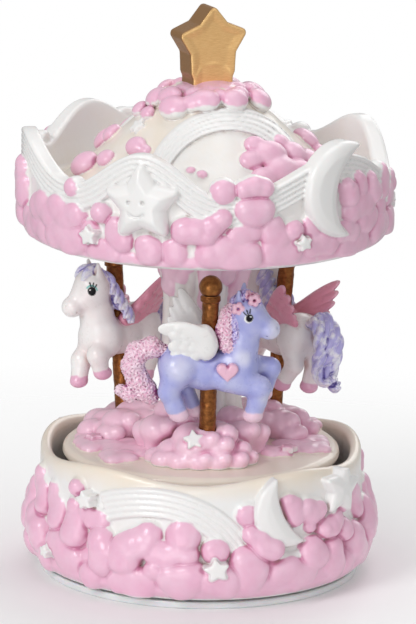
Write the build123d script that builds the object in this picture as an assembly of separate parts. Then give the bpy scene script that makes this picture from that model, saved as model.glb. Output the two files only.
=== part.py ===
"""Carousel music box: a sculpted base ring that holds a wind-up movement, and a turntable that carries
three winged horses on leaning poles, a centre column, a scalloped canopy and a star finial.

Frame: millimetres, +Z up, origin on the table under the turning axis, -Y is the front.
The flat disc under the base is the winder. The spring barrel stands on the turning axis and drives the
turntable directly; a crown gear on the barrel drives the pinned cylinder and the air-brake governor.
"""

from build123d import *
import math
import os

# ---------------------------------------------------------------- driving dimensions
# Base ring casting and what closes it
WINDER_R = 46.4
WINDER_THICK = 2.0
BASE_BOTTOM_Z = 3.0
BASE_RIM_Z = 37.6
BASE_RIM_R = 46.8
BASE_INNER_R = 43.4
RIM_WAVE = 1.3
RIM_CREST_ANGLE = -55.0
COVER_R = 42.9
COVER_Z = (3.2, 5.2)

# Turntable
PLATFORM_R = 40.4
PLATFORM_Z = (33.0, 37.0)
COLUMN_R = 10.5
FIRST_HORSE_ANGLE = -86.0
HORSE_COUNT = 3
POLE_R = 2.45
POLE_BALL_R = 3.35
POLE_FOOT_RADIUS = 25.0
POLE_LEAN = 4.8
POLE_LENGTH = 52.0
HORSE_HEIGHT_Z = 66.5
HORSE_YAW = {"front": 0.0, "right": 8.0, "left": -14.0}
HOLE_PLAY = 0.05

# Canopy and star
CANOPY_BOTTOM_Z = 100.4
CANOPY_WALL_R = 52.0
CANOPY_BAND_Z = 127.2
CANOPY_BAND_WAVE = 5.7
CANOPY_SCALLOPS = 6
CANOPY_CREST_ANGLE = -110.0
CANOPY_TOP_Z = 144.0
CANOPY_CEILING_Z = 127.0
STAR_R = 10.8
STAR_INNER_R = 6.9
STAR_THICK = 8.0
STAR_CENTRE_Z = 155.6
STAR_TURN = 27.0

# Movement: levels
PLATE_Z = (9.0, 11.0)
BARREL_R = 11.5
BARREL_WALL = 0.9
BARREL_Z = (12.0, 25.65)
CROWN_R = 15.6
CROWN_THICK = 1.6
BRIDGE_Z = (29.0, 30.5)
BRIDGE_POST_Y = 18.2
ARBOR_R = 2.5
OUTPUT_R = 2.5
RUNNING_PLAY = 0.05

# Movement: gear train
CROWN_TEETH = 48
PINION_TEETH = 20
DRIVE_MODULE = 0.6
CYLINDER_AXIS_Z = 19.0
CYLINDER_R = 6.0
CYLINDER_X = (17.0, 32.0)
WHEEL_TEETH = 36
GOVERNOR_PINION_TEETH = 9
FINE_MODULE = 0.4
WORM_WHEEL_TEETH = 20
WORM_MODULE = 0.5
WORM_R = 1.6
COMB_TEETH = 18

# ---------------------------------------------------------------- derived places
CROWN_PITCH_R = CROWN_TEETH * DRIVE_MODULE / 2
PINION_PITCH_R = PINION_TEETH * DRIVE_MODULE / 2
WHEEL_PITCH_R = WHEEL_TEETH * FINE_MODULE / 2
GOVERNOR_PINION_R = GOVERNOR_PINION_TEETH * FINE_MODULE / 2
WORM_WHEEL_R = WORM_WHEEL_TEETH * WORM_MODULE / 2
GOVERNOR_Y = -(WHEEL_PITCH_R + GOVERNOR_PINION_R)
WORM_X = 35.7
WORM_Y = GOVERNOR_Y - WORM_WHEEL_R - WORM_R
CROWN_UNDER_Z = BARREL_Z[1]
HORSE_ANGLES = {
    "front": FIRST_HORSE_ANGLE,
    "right": FIRST_HORSE_ANGLE + 360 / HORSE_COUNT,
    "left": FIRST_HORSE_ANGLE + 720 / HORSE_COUNT,
}
COVER_SCREW_ANGLES = (95, 215, 305)
COVER_SCREW_RADIUS = 39.4
FEET = ((-15.5, 0), (33, 14), (29, -16.5))
COMB_SCREW_X = (20.5, 28.5)
COMB_SCREW_Y = 17.8
BRACKET_SCREW = (36.0, -0.6)
ON_FLOOR = (Align.CENTER, Align.CENTER, Align.MIN)


# ---------------------------------------------------------------- building blocks
def post(radius, z0, z1, x=0.0, y=0.0):
    """An upright cylinder between two heights."""
    return Pos(x, y, z0) * Cylinder(radius, z1 - z0, align=ON_FLOOR)


def block(x0, x1, y0, y1, z0, z1):
    """A box given by its limits."""
    size = Box(x1 - x0, y1 - y0, z1 - z0, align=(Align.MIN, Align.MIN, Align.MIN))
    return Pos(x0, y0, z0) * size


def along_x(radius, x0, x1, y, z):
    """A cylinder that lies along X."""
    return Pos(x0, y, z) * Rot(0, 90, 0) * Cylinder(radius, x1 - x0, align=ON_FLOOR)


def turned(points):
    """A solid of revolution about Z from (radius, height) points."""
    outline = Polyline(*[(r, 0, z) for r, z in points], close=True)
    return revolve(make_face(outline), axis=Axis.Z)


def capsule(start, start_r, end, end_r):
    """A tapered rod with ball ends, made as one solid of revolution."""
    a, b = Vector(*start), Vector(*end)
    length = (b - a).length
    lean = math.asin((start_r - end_r) / length)
    low = (start_r * math.cos(lean), start_r * math.sin(lean))
    high = (end_r * math.cos(lean), length + end_r * math.sin(lean))
    half = lean / 2 - math.pi / 4
    low_mid = (start_r * math.cos(half), start_r * math.sin(half))
    half = lean / 2 + math.pi / 4
    high_mid = (end_r * math.cos(half), length + end_r * math.sin(half))
    outline = Wire(
        [
            ThreePointArc((0, -start_r), low_mid, low).edge(),
            Line(low, high).edge(),
            ThreePointArc(high, high_mid, (0, length + end_r)).edge(),
            Line((0, length + end_r), (0, -start_r)).edge(),
        ]
    )
    rod = revolve(make_face(outline), axis=Axis.Y)
    return Plane(origin=a, z_dir=b - a) * Rot(90, 0, 0) * rod


def ring_of_balls(count, ring_r, z, ball_r, start=0.0):
    """Balls spaced evenly round the axis, the plain form of the sculpted clouds."""
    balls = []
    for i in range(count):
        angle = math.radians(start + i * 360 / count)
        balls.append(Pos(ring_r * math.cos(angle), ring_r * math.sin(angle), z) * Sphere(ball_r))
    return balls


def wave_cutter(inner_r, outer_r, z_mean, wave, count, crest_angle, height):
    """Everything above a wavy ring, to trim a rim to a scalloped edge."""

    def edge(radius):
        steps = 8 * count
        turns = [2 * math.pi * i / steps for i in range(steps)]
        crest = math.radians(crest_angle)
        points = [
            (radius * math.cos(a), radius * math.sin(a), z_mean + wave * math.cos(count * (a - crest)))
            for a in turns
        ]
        return Spline(*points, periodic=True)

    face = Face.make_surface_from_curves(edge(outer_r), edge(inner_r))
    return extrude(face, amount=height, dir=(0, 0, 1))


def star_outline(outer_r, inner_r):
    """A five-pointed star standing on two legs, its tips rounded."""
    points = []
    for i in range(10):
        radius = outer_r if i % 2 == 0 else inner_r
        angle = math.radians(90 + 36 * i)
        points.append((radius * math.cos(angle), radius * math.sin(angle)))
    star = make_face(Polyline(*points, close=True))
    return fillet(star.vertices(), outer_r * 0.12)


def on_wall(angle, radius, z):
    """The plane that faces outwards at a bearing, its Y upwards."""
    a = math.radians(angle)
    outwards = (math.cos(a), math.sin(a), 0)
    sideways = (-math.sin(a), math.cos(a), 0)
    return Plane(origin=(radius * math.cos(a), radius * math.sin(a), z), x_dir=sideways, z_dir=outwards)


def crescent(outer_r, thick):
    """A crescent moon plate."""
    moon = Circle(outer_r) - Pos(outer_r * 0.55, outer_r * 0.1) * Circle(outer_r * 0.82)
    return extrude(moon, thick)


def pan_screw(head_r, head_h, shank_r, length):
    """A screw with its head below Z = 0 and its shank upwards."""
    slot = Box(head_r * 2, 0.5, head_h * 0.5, align=(Align.CENTER, Align.CENTER, Align.MIN))
    head = Pos(0, 0, -head_h) * Cylinder(head_r, head_h, align=ON_FLOOR)
    return head - Pos(0, 0, -head_h) * slot + Cylinder(shank_r, length, align=ON_FLOOR)


def gear_outline(teeth, module, tooth_width):
    """A spur gear's face: a root disc with straight-flanked teeth, tooth_width wide at the pitch circle."""
    pitch_r = teeth * module / 2
    root_r = pitch_r - 1.1 * module
    tip_r = pitch_r + 0.83 * module
    flank = math.tan(math.radians(20))
    root_half = tooth_width / 2 + (pitch_r - root_r) * flank
    tip_half = tooth_width / 2 - (tip_r - pitch_r) * flank
    inside = root_r - 0.3 * module
    tooth = Polygon(
        (inside, -root_half), (root_r, -root_half), (tip_r, -tip_half),
        (tip_r, tip_half), (root_r, root_half), (inside, root_half),
        align=None,
    )
    return Circle(root_r) + [Rot(0, 0, i * 360 / teeth) * tooth for i in range(teeth)]


def gear_on_x(teeth, module, tooth_width, x0, x1, y, z, bore_r, turn=0.0):
    """A spur gear whose axis lies along X, with one tooth upwards when turn is 0."""
    face = gear_outline(teeth, module, tooth_width) - Circle(bore_r)
    gear = extrude(face, x1 - x0)
    return Pos(x0, y, z) * Rot(0, 90, 0) * Rot(0, 0, 180 + turn) * gear


# ---------------------------------------------------------------- base
def base_casting():
    """The base ring: plain wall, cloud relief, wavy rim, and screw bosses for the cover."""
    wall = turned(
        [(BASE_INNER_R, BASE_BOTTOM_Z), (BASE_RIM_R - 0.8, BASE_BOTTOM_Z), (BASE_RIM_R + 0.6, 12),
         (BASE_RIM_R + 0.4, 30), (BASE_RIM_R, BASE_RIM_Z + 2), (BASE_INNER_R, BASE_RIM_Z + 2)]
    )
    clouds = ring_of_balls(18, 43.3, 11, 9.2) + ring_of_balls(18, 45.2, 19, 6.2, start=10)
    moon = on_wall(-57, 45.5, 20) * crescent(9, 3.6)
    star = on_wall(-28, 45.5, 25) * extrude(star_outline(7.5, 4.2), 4)
    casting = wall + clouds + [moon, star]
    casting -= wave_cutter(38, 60, BASE_RIM_Z, RIM_WAVE, 5, RIM_CREST_ANGLE, 12)
    casting -= post(BASE_INNER_R, 0, BASE_RIM_Z + 5)
    casting -= post(70, -5, BASE_BOTTOM_Z)
    bosses = []
    for angle in COVER_SCREW_ANGLES:
        x, y = polar(COVER_SCREW_RADIUS, angle)
        bosses.append(post(3.4, COVER_Z[1], 15, x, y) + block_towards_wall(angle, 15))
    casting += bosses
    for angle in COVER_SCREW_ANGLES:
        x, y = polar(COVER_SCREW_RADIUS, angle)
        casting -= post(1.25, COVER_Z[1], 13, x, y)
    return casting


def polar(radius, angle):
    """x and y at a radius and bearing."""
    a = math.radians(angle)
    return radius * math.cos(a), radius * math.sin(a)


def block_towards_wall(angle, top):
    """The web that ties a screw boss to the ring."""
    web = block(COVER_SCREW_RADIUS, BASE_INNER_R + 0.6, -2.4, 2.4, COVER_Z[1], top)
    return Rot(0, 0, angle) * web


def base_cover():
    """The board that closes the base and carries the movement, with counterbored screw holes."""
    board = post(COVER_R, *COVER_Z) - post(ARBOR_R + 0.6, COVER_Z[0] - 1, COVER_Z[1] + 1)
    places = [polar(COVER_SCREW_RADIUS, a) for a in COVER_SCREW_ANGLES] + list(FEET)
    for x, y in places:
        board -= post(1.35, COVER_Z[0], COVER_Z[1], x, y)
        board -= post(2.7, COVER_Z[0], COVER_Z[0] + 1.2, x, y)
    return board


def screws_from_below(places, length):
    """Screws that come up through the cover at each place."""
    screw = pan_screw(2.5, 1.0, 1.2, length)
    return [Pos(x, y, COVER_Z[0] + 1.2) * screw for x, y in places]


def thrust_washer():
    return post(10, WINDER_THICK, COVER_Z[0]) - post(ARBOR_R + 0.5, WINDER_THICK, COVER_Z[0])


# ---------------------------------------------------------------- winder
def wind_disc():
    """The flat disc the music box stands on. Turning the box on it winds the spring."""
    disc = fillet(post(WINDER_R, 0, WINDER_THICK).edges().filter_by(GeomType.CIRCLE), 0.5)
    square = block(-1.75, 1.75, -1.75, 1.75, 0, WINDER_THICK)
    return disc - square - post(4.4, 0, 1.0)


def winding_arbor():
    """The upright arbor: squared foot, journal, spring core and top pivot, tapped from below."""
    foot = block(-1.7, 1.7, -1.7, 1.7, 1.0, WINDER_THICK)
    journal = post(ARBOR_R, WINDER_THICK, BARREL_Z[0] + 1)
    core = post(3.0, BARREL_Z[0] + 1, 22.5)
    pivot = post(1.5, 22.5, 25.0)
    return foot + journal + core + pivot - post(1.3, 0, 8)


def disc_screw():
    return Pos(0, 0, 1.0) * pan_screw(3.8, 0.9, 1.25, 6.5)


# ---------------------------------------------------------------- movement, fixed parts
def movement_bedplate():
    """The cast plate with its feet, comb anvil, bridge posts and inner bearing posts."""
    outline = Circle(21.2) + Pos(19.75, 0.75) * Rectangle(39.5, 41.5)
    plate = extrude(outline & Circle(41), PLATE_Z[1] - PLATE_Z[0])
    plate = Pos(0, 0, PLATE_Z[0]) * plate
    plate += [post(3.0, COVER_Z[1], PLATE_Z[0], x, y) for x, y in FEET]
    plate += block(CYLINDER_X[0], CYLINDER_X[1], 15, 21, PLATE_Z[1], 18.6)
    plate += [post(2.2, PLATE_Z[1], BRIDGE_Z[0], 0, side * BRIDGE_POST_Y) for side in (-1, 1)]
    plate += block(15.7, 16.5, -2, 2, PLATE_Z[1], 21.2)
    plate += block(30.6, 31.6, GOVERNOR_Y - 1.4, GOVERNOR_Y + 1.4, PLATE_Z[1], 21)
    plate += post(1.8, PLATE_Z[1], 23.0, 29, -17)
    plate -= post(4.0, *PLATE_Z)
    plate -= [post(1.25, COVER_Z[1], PLATE_Z[1], x, y) for x, y in FEET]
    plate -= [post(1.05, 13, 18.6, x, COMB_SCREW_Y) for x in COMB_SCREW_X]
    plate -= [post(1.05, 22, BRIDGE_Z[0], 0, side * BRIDGE_POST_Y) for side in (-1, 1)]
    plate -= along_x(0.8 + RUNNING_PLAY, 15, 17, 0, CYLINDER_AXIS_Z)
    plate -= along_x(0.6 + RUNNING_PLAY, 30, 32, GOVERNOR_Y, CYLINDER_AXIS_Z)
    plate -= post(0.6 + RUNNING_PLAY, *PLATE_Z, WORM_X, WORM_Y)
    plate -= post(0.55, PLATE_Z[0], PLATE_Z[1], *BRACKET_SCREW)
    return plate


def arbor_bush():
    flange = post(5.5, PLATE_Z[1], PLATE_Z[1] + 0.8)
    return post(4.0, *PLATE_Z) + flange - post(ARBOR_R + RUNNING_PLAY, PLATE_Z[0], PLATE_Z[1] + 0.8)


def clutch_spring():
    """The wrap spring round the arbor that lets it turn only in the winding direction."""
    path = Pos(0, 0, 5.7) * Helix(pitch=0.8, height=2.8, radius=3.1)
    wire = Plane(origin=path @ 0, z_dir=path % 0) * Circle(0.3)
    return sweep(wire, path=path, is_frenet=True)


def top_bridge():
    bar = block(-5.6, 5.6, -20.8, 20.8, *BRIDGE_Z)
    bar = fillet(bar.edges().filter_by(Axis.Z), 4)
    bar -= post(4.0, *BRIDGE_Z)
    return bar - [post(1.2, *BRIDGE_Z, 0, side * BRIDGE_POST_Y) for side in (-1, 1)]


def bridge_screws():
    screw = Rot(180, 0, 0) * pan_screw(2.2, 1.0, 1.0, 6)
    return [Pos(0, side * BRIDGE_POST_Y, BRIDGE_Z[1]) * screw for side in (-1, 1)]


def bridge_bush():
    flange = post(5.2, BRIDGE_Z[1], BRIDGE_Z[1] + 0.5)
    body = post(4.0, 28.2, BRIDGE_Z[1]) + flange
    return body - post(OUTPUT_R + RUNNING_PLAY, 28, 31.5)


def outer_bracket():
    """The angle bracket that holds the outer ends of the cylinder and governor shafts."""
    upright = block(37.3, 38.3, -11.3, 2.4, PLATE_Z[1], 21.4)
    foot = block(34.6, 38.3, -3.2, 2.4, PLATE_Z[1], 12.0)
    bracket = upright + foot - post(0.55, PLATE_Z[1], 12.0, *BRACKET_SCREW)
    bracket -= along_x(0.8 + RUNNING_PLAY, 37, 39, 0, CYLINDER_AXIS_Z)
    return bracket - along_x(0.6 + RUNNING_PLAY, 37, 39, GOVERNOR_Y, CYLINDER_AXIS_Z)


def bracket_screw():
    return Pos(*BRACKET_SCREW, 12.0) * Rot(180, 0, 0) * pan_screw(1.1, 0.5, 0.5, 2.4)


def governor_bridge():
    """The arm that holds the worm spindle's top pivot."""
    arm = Pos(29, -17, 23.0) * Cylinder(1.9, 1, align=ON_FLOOR)
    arm += post(1.9, 23.0, 24.0, WORM_X, WORM_Y)
    run = math.hypot(WORM_X - 29, WORM_Y + 17)
    bar = block(0, run, -1.2, 1.2, 0, 1)
    arm += Pos(29, -17, 23.0) * Rot(0, 0, math.degrees(math.atan2(WORM_Y + 17, WORM_X - 29))) * bar
    return arm - post(0.6 + RUNNING_PLAY, 23.0, 24.0, WORM_X, WORM_Y)


def comb():
    """The steel comb: a clamped back and one tuned tooth for each note."""
    back = block(*CYLINDER_X, 14.5, 20.8, 18.6, 20.1)
    pitch = (CYLINDER_X[1] - CYLINDER_X[0]) / COMB_TEETH
    teeth = []
    for i in range(COMB_TEETH):
        x = CYLINDER_X[0] + (i + 0.5) * pitch
        teeth.append(block(x - 0.3, x + 0.3, CYLINDER_R + 0.95, 14.7, 18.8, 19.4))
        weight = 4.5 * (1 - i / COMB_TEETH)
        teeth.append(block(x - 0.3, x + 0.3, 9.0, 9.2 + weight, 17.4, 18.9))
    return back + teeth - [post(1.2, 18.6, 20.1, x, COMB_SCREW_Y) for x in COMB_SCREW_X]


def comb_screws():
    screw = Rot(180, 0, 0) * pan_screw(2.1, 1.0, 1.0, 6.5)
    return [Pos(x, COMB_SCREW_Y, 20.1) * screw for x in COMB_SCREW_X]


# ---------------------------------------------------------------- movement, moving parts
def spring_barrel():
    cup = post(BARREL_R, *BARREL_Z) - post(BARREL_R - BARREL_WALL, BARREL_Z[0] + 1, BARREL_Z[1])
    return cup - post(ARBOR_R + 0.1, BARREL_Z[0], BARREL_Z[0] + 1)


def mainspring():
    """The flat spiral spring, part wound, between the arbor and the barrel wall."""
    turns, inner_r, outer_r, leaf = 4.5, 3.7, 9.9, 0.35
    steps = int(turns * 12)

    def spiral(shift):
        points = []
        for i in range(steps + 1):
            share = i / steps
            radius = inner_r + (outer_r - inner_r) * share + shift
            angle = 2 * math.pi * turns * share
            points.append((radius * math.cos(angle), radius * math.sin(angle)))
        return Spline(*points)

    inside, outside = spiral(0), spiral(leaf)
    ends = [Line(inside @ 0, outside @ 0), Line(inside @ 1, outside @ 1)]
    leaf_face = make_face(Wire([inside.edge(), ends[1].edge(), outside.edge(), ends[0].edge()]))
    return Pos(0, 0, BARREL_Z[0] + 1.3) * extrude(leaf_face, 8.8)


def crown_gear():
    """The barrel's lid: a crown gear whose teeth point down, with a boss for the arbor's pivot."""
    lid = post(CROWN_R, CROWN_UNDER_Z, CROWN_UNDER_Z + CROWN_THICK)
    lid += post(3.0, 23.0, CROWN_UNDER_Z)
    depth = 1.15
    root_half, tip_half = 0.30 + 0.18, 0.30 - 0.16
    profile = Plane(origin=(13.6, 0, CROWN_UNDER_Z), x_dir=(0, 1, 0), z_dir=(1, 0, 0))
    tooth_face = profile * Polygon(
        (-root_half, 0.2), (-root_half, 0), (-tip_half, -depth), (tip_half, -depth),
        (root_half, 0), (root_half, 0.2), align=None,
    )
    tooth = extrude(tooth_face, 1.6)
    lid += [Rot(0, 0, (i + 0.5) * 360 / CROWN_TEETH) * tooth for i in range(CROWN_TEETH)]
    lid -= post(1.5 + RUNNING_PLAY, 23.0, 25.3)
    return lid - post(2.0, CROWN_UNDER_Z, CROWN_UNDER_Z + CROWN_THICK)


def output_shaft():
    """The spindle riveted through the crown gear that lifts the drive up to the turntable."""
    top = CROWN_UNDER_Z + CROWN_THICK
    return post(2.0, CROWN_UNDER_Z, top) + post(4.6, top, 28.0) + post(OUTPUT_R, 28.0, 42.0)


def music_cylinder():
    """The pinned barrel: each note has pins at bearings spread by the golden angle."""
    cylinder = along_x(CYLINDER_R, *CYLINDER_X, 0, CYLINDER_AXIS_Z)
    cylinder -= along_x(CYLINDER_R - 0.8, CYLINDER_X[0] + 1, CYLINDER_X[1] - 1, 0, CYLINDER_AXIS_Z)
    cylinder -= along_x(0.8, *CYLINDER_X, 0, CYLINDER_AXIS_Z)
    pitch = (CYLINDER_X[1] - CYLINDER_X[0]) / COMB_TEETH
    pin = Pos(0, 0, CYLINDER_R - 0.3) * Cylinder(0.2, 1.05, align=ON_FLOOR)
    pins = []
    for i in range(COMB_TEETH * 3):
        x = CYLINDER_X[0] + (i % COMB_TEETH + 0.5) * pitch
        pins.append(Pos(x, 0, CYLINDER_AXIS_Z) * Rot(i * 137.5, 0, 0) * pin)
    return cylinder + pins


def cylinder_shaft():
    return along_x(0.8, 13.2, 38.9, 0, CYLINDER_AXIS_Z)


def cylinder_pinion():
    return gear_on_x(PINION_TEETH, DRIVE_MODULE, 0.62, 13.7, 15.1, 0, CYLINDER_AXIS_Z, 0.8)


def cylinder_wheel():
    return gear_on_x(WHEEL_TEETH, FINE_MODULE, 0.44, 32.6, 33.8, 0, CYLINDER_AXIS_Z, 0.8)


def governor_shaft():
    return along_x(0.6, 30.2, 38.9, GOVERNOR_Y, CYLINDER_AXIS_Z)


def governor_pinion():
    return gear_on_x(GOVERNOR_PINION_TEETH, FINE_MODULE, 0.40, 32.6, 33.8, GOVERNOR_Y,
                     CYLINDER_AXIS_Z, 0.6, turn=90)


def worm_wheel():
    return gear_on_x(WORM_WHEEL_TEETH, WORM_MODULE, 0.5, WORM_X - 0.5, WORM_X + 0.5, GOVERNOR_Y,
                     CYLINDER_AXIS_Z, 0.6)


def worm_spindle():
    """The governor's upright spindle with a single-start worm."""
    lead = math.pi * WORM_MODULE
    turns = 3.5
    path = Helix(pitch=lead, height=lead * turns, radius=WORM_R)
    tooth = Plane(origin=path @ 0, z_dir=path % 0, x_dir=(1, 0, 0)) * Polygon(
        (-0.6, 0.34), (-0.6, -0.34), (0.4, -0.14), (0.4, 0.14), align=None
    )
    thread = sweep(tooth, path=path, is_frenet=True)
    worm = Pos(0, 0, CYLINDER_AXIS_Z - lead * turns / 2) * thread
    return Pos(WORM_X, WORM_Y, 0) * (worm + post(1.05, 15.4, 22.6) + post(0.6, 9.4, 29.4))


def air_brake_fan():
    wing = block(-3.2, 3.2, -0.2, 0.2, 24.8, 29.0)
    return Pos(WORM_X, WORM_Y, 0) * (post(1.2, 24.4, 29.2) + wing - post(0.6, 24.4, 29.2))


# ---------------------------------------------------------------- turntable and what stands on it
def drive_hub():
    return post(8, 31.2, PLATFORM_Z[0]) - post(OUTPUT_R, 31.2, PLATFORM_Z[0])


def turntable_platform():
    disc = post(PLATFORM_R, *PLATFORM_Z)
    disc = fillet(disc.edges().filter_by(GeomType.CIRCLE).sort_by(Axis.Z)[-1:], 1.6)
    return disc - post(OUTPUT_R, *PLATFORM_Z)


def pole_frame(name):
    """The frame of a pole: origin at its foot on the platform, Z up the leaning pole."""
    angle = HORSE_ANGLES[name]
    return Pos(0, 0, PLATFORM_Z[1]) * Rot(0, 0, angle) * Pos(POLE_FOOT_RADIUS, 0, 0) * Rot(0, POLE_LEAN, 0)


def pole(name):
    """A brass-coloured pole, trimmed flat where it stands on the platform, with a collar at the top."""
    rod = Pos(0, 0, -1) * Cylinder(POLE_R, POLE_LENGTH, align=ON_FLOOR)
    collar = Pos(0, 0, POLE_LENGTH - 2.2) * Cylinder(POLE_R + 0.25, 1.2, align=ON_FLOOR)
    return pole_frame(name) * (rod + collar) - post(60, 30, PLATFORM_Z[1])


def pole_ball(name):
    ball = Pos(0, 0, POLE_LENGTH - 1 + POLE_BALL_R * 0.86) * Sphere(POLE_BALL_R)
    return pole_frame(name) * (ball - Pos(0, 0, POLE_LENGTH - 6) * Cylinder(5, 5, align=ON_FLOOR))


def cloud_mound(name):
    """The cloud that a pole stands in: overlapping balls, flat underneath, with the pole's socket."""
    lumps = [
        (0, 0, 1, 7.6), (-3, 8, 0, 6.2), (-2, -8.5, 0, 6.4), (5.5, 4, -1, 5.2), (5, -5, -1, 5.6),
        (-7, 0, 0, 6),
    ]
    balls = [Pos(x, y, z) * Sphere(r) for x, y, z, r in lumps]
    place = Pos(0, 0, PLATFORM_Z[1]) * Rot(0, 0, HORSE_ANGLES[name]) * Pos(POLE_FOOT_RADIUS, 0, 0)
    mound = place * (balls[0] + balls[1:])
    mound -= post(60, 20, PLATFORM_Z[1])
    mound -= column_outline()
    return mound - pole_frame(name) * Cylinder(POLE_R + HOLE_PLAY, 60)


def column_outline():
    """The centre column: a spreading foot, a plain shank and a head that flares into the canopy."""
    return turned(
        [(0, PLATFORM_Z[1]), (14.5, PLATFORM_Z[1]), (12.0, 43), (COLUMN_R, 50), (COLUMN_R, 84),
         (12.4, 91), (15.0, 97), (15.6, 104), (15.6, CANOPY_CEILING_Z), (0, CANOPY_CEILING_Z)]
    )


def center_column():
    return column_outline() - post(OUTPUT_R, PLATFORM_Z[1], 42.2)


def limb(*joints):
    """A jointed limb of tapered rods through (x, y, z, radius) joints."""
    rods = []
    for (*start, start_r), (*end, end_r) in zip(joints, joints[1:]):
        rods.append(capsule(start, start_r * 0.93, end, end_r))
    return rods


def horse_body(wings):
    """A prancing winged horse about its pole: +X is forwards, the pole runs along Z."""
    rods = limb((-8.6, 0, 0.6, 6.6), (6.6, 0, 0.4, 5.8), (11.2, 0, 13.0, 3.7))
    rods += limb((11.4, 0, 16.4, 5.6), (17.6, 0, 12.0, 2.9))
    rods += limb((5.6, 0, 9.6, 2.6), (7.4, 0, 19.0, 2.6))
    rods += limb((10.6, -2.6, 19.5, 1.8), (9.6, -3.1, 23.0, 0.6))
    rods += limb((10.6, 2.6, 19.5, 1.8), (9.6, 3.1, 23.0, 0.6))
    rods += limb((-9.0, -3.2, -1.0, 4.7), (-12.0, -3.6, -7.4, 2.4), (-9.4, -3.8, -13.0, 2.5))
    rods += limb((-9.0, 3.2, -1.0, 4.7), (-12.0, 3.6, -7.4, 2.4), (-6.0, 3.8, -12.0, 2.3))
    rods += limb((8.0, -3.4, -2.4, 3.9), (14.8, -3.8, -6.0, 2.6), (12.6, -3.8, -13.0, 2.5))
    rods += limb((9.0, 3.4, -1.4, 3.7), (17.0, 3.8, -2.2, 2.5), (15.4, 3.8, -9.0, 2.3))
    rods += limb((-13.0, 0, 4.6, 2.6), (-19.0, 0, 6.0, 2.9), (-22.0, 0, -1.0, 3.0), (-19.0, 0, -8.0, 2.4))
    return rods[0] + rods[1:] + wings


def wing_pair(length, rise, sweep_back, roll):
    """Two flat wings rooted beside the saddle; roll turns them out from the body."""
    outline = make_face(
        Polyline(
            (2.6, 0), (1.2, 5.0), (-sweep_back * 0.6, rise), (-sweep_back, rise),
            (-length, rise * 0.55), (-length * 0.72, rise * 0.12), (-2.6, -1.0), close=True,
        )
    )
    blade = Plane.XZ * extrude(outline, 0.9, both=True)
    return [Pos(1.0, -4.6, 4.2) * Rot(roll, 0, 0) * blade, Pos(1.0, 4.6, 4.2) * Rot(-roll, 0, 0) * blade]


def horse(name):
    """One horse on its pole, bored to take it."""
    wings = wing_pair(13.5, 10.0, 8.0, 18) if name == "front" else wing_pair(15.5, 17.5, 14.0, 35)
    up_the_pole = (HORSE_HEIGHT_Z - PLATFORM_Z[1]) / math.cos(math.radians(POLE_LEAN))
    bored = horse_body(wings) - Cylinder(POLE_R + HOLE_PLAY, 80)
    return pole_frame(name) * Pos(0, 0, up_the_pole) * Rot(0, 0, 90 + HORSE_YAW[name]) * bored


# ---------------------------------------------------------------- canopy
def canopy():
    """The roof casting: cloud-covered rim with a scalloped band, cone roof, hollow underneath."""
    roof = turned(
        [(0, 98), (50.6, CANOPY_BOTTOM_Z), (CANOPY_WALL_R, 106), (CANOPY_WALL_R, 120), (51.6, 134),
         (49.2, 134), (47.6, 113.5), (45.0, 113.0), (33.0, 121.8), (20.0, 134.0), (12.5, 141.0),
         (9.5, CANOPY_TOP_Z), (0, CANOPY_TOP_Z)]
    )
    clouds = ring_of_balls(20, 46.6, 107.0, 7.5) + ring_of_balls(20, 48.4, 113.8, 5.8, start=9)
    crown = ring_of_balls(10, 12.5, 138.6, 4.6)
    star = on_wall(-110, 49.5, 119) * extrude(star_outline(10.8, 6.2), 5.0)
    moon = on_wall(-46, 49.5, 119) * crescent(12.0, 4.6)
    shape = roof + clouds + crown + [star, moon]
    shape -= wave_cutter(48.4, 62, CANOPY_BAND_Z, CANOPY_BAND_WAVE, CANOPY_SCALLOPS, CANOPY_CREST_ANGLE, 14)
    hollow = turned(
        [(0, 90), (60, 90), (60, CANOPY_BOTTOM_Z), (48.0, CANOPY_BOTTOM_Z), (46.5, 104.0), (40.0, 109.0),
         (18.0, CANOPY_CEILING_Z), (0, CANOPY_CEILING_Z)]
    )
    shape -= hollow
    return shape - post(20, CANOPY_TOP_Z, CANOPY_TOP_Z + 10)


def star_finial():
    """The thick five-pointed star, its two legs merged into a foot on the roof."""
    star = Pos(0, STAR_CENTRE_Z) * star_outline(STAR_R, STAR_INNER_R)
    foot = Pos(0, (CANOPY_TOP_Z + STAR_CENTRE_Z) / 2) * Rectangle(12.0, STAR_CENTRE_Z - CANOPY_TOP_Z)
    outline = star + foot
    outline -= Pos(0, CANOPY_TOP_Z - 10) * Rectangle(60, 20)
    blade = extrude(outline, STAR_THICK / 2, both=True)
    return Rot(0, 0, STAR_TURN) * (Plane.XZ * blade)


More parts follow.
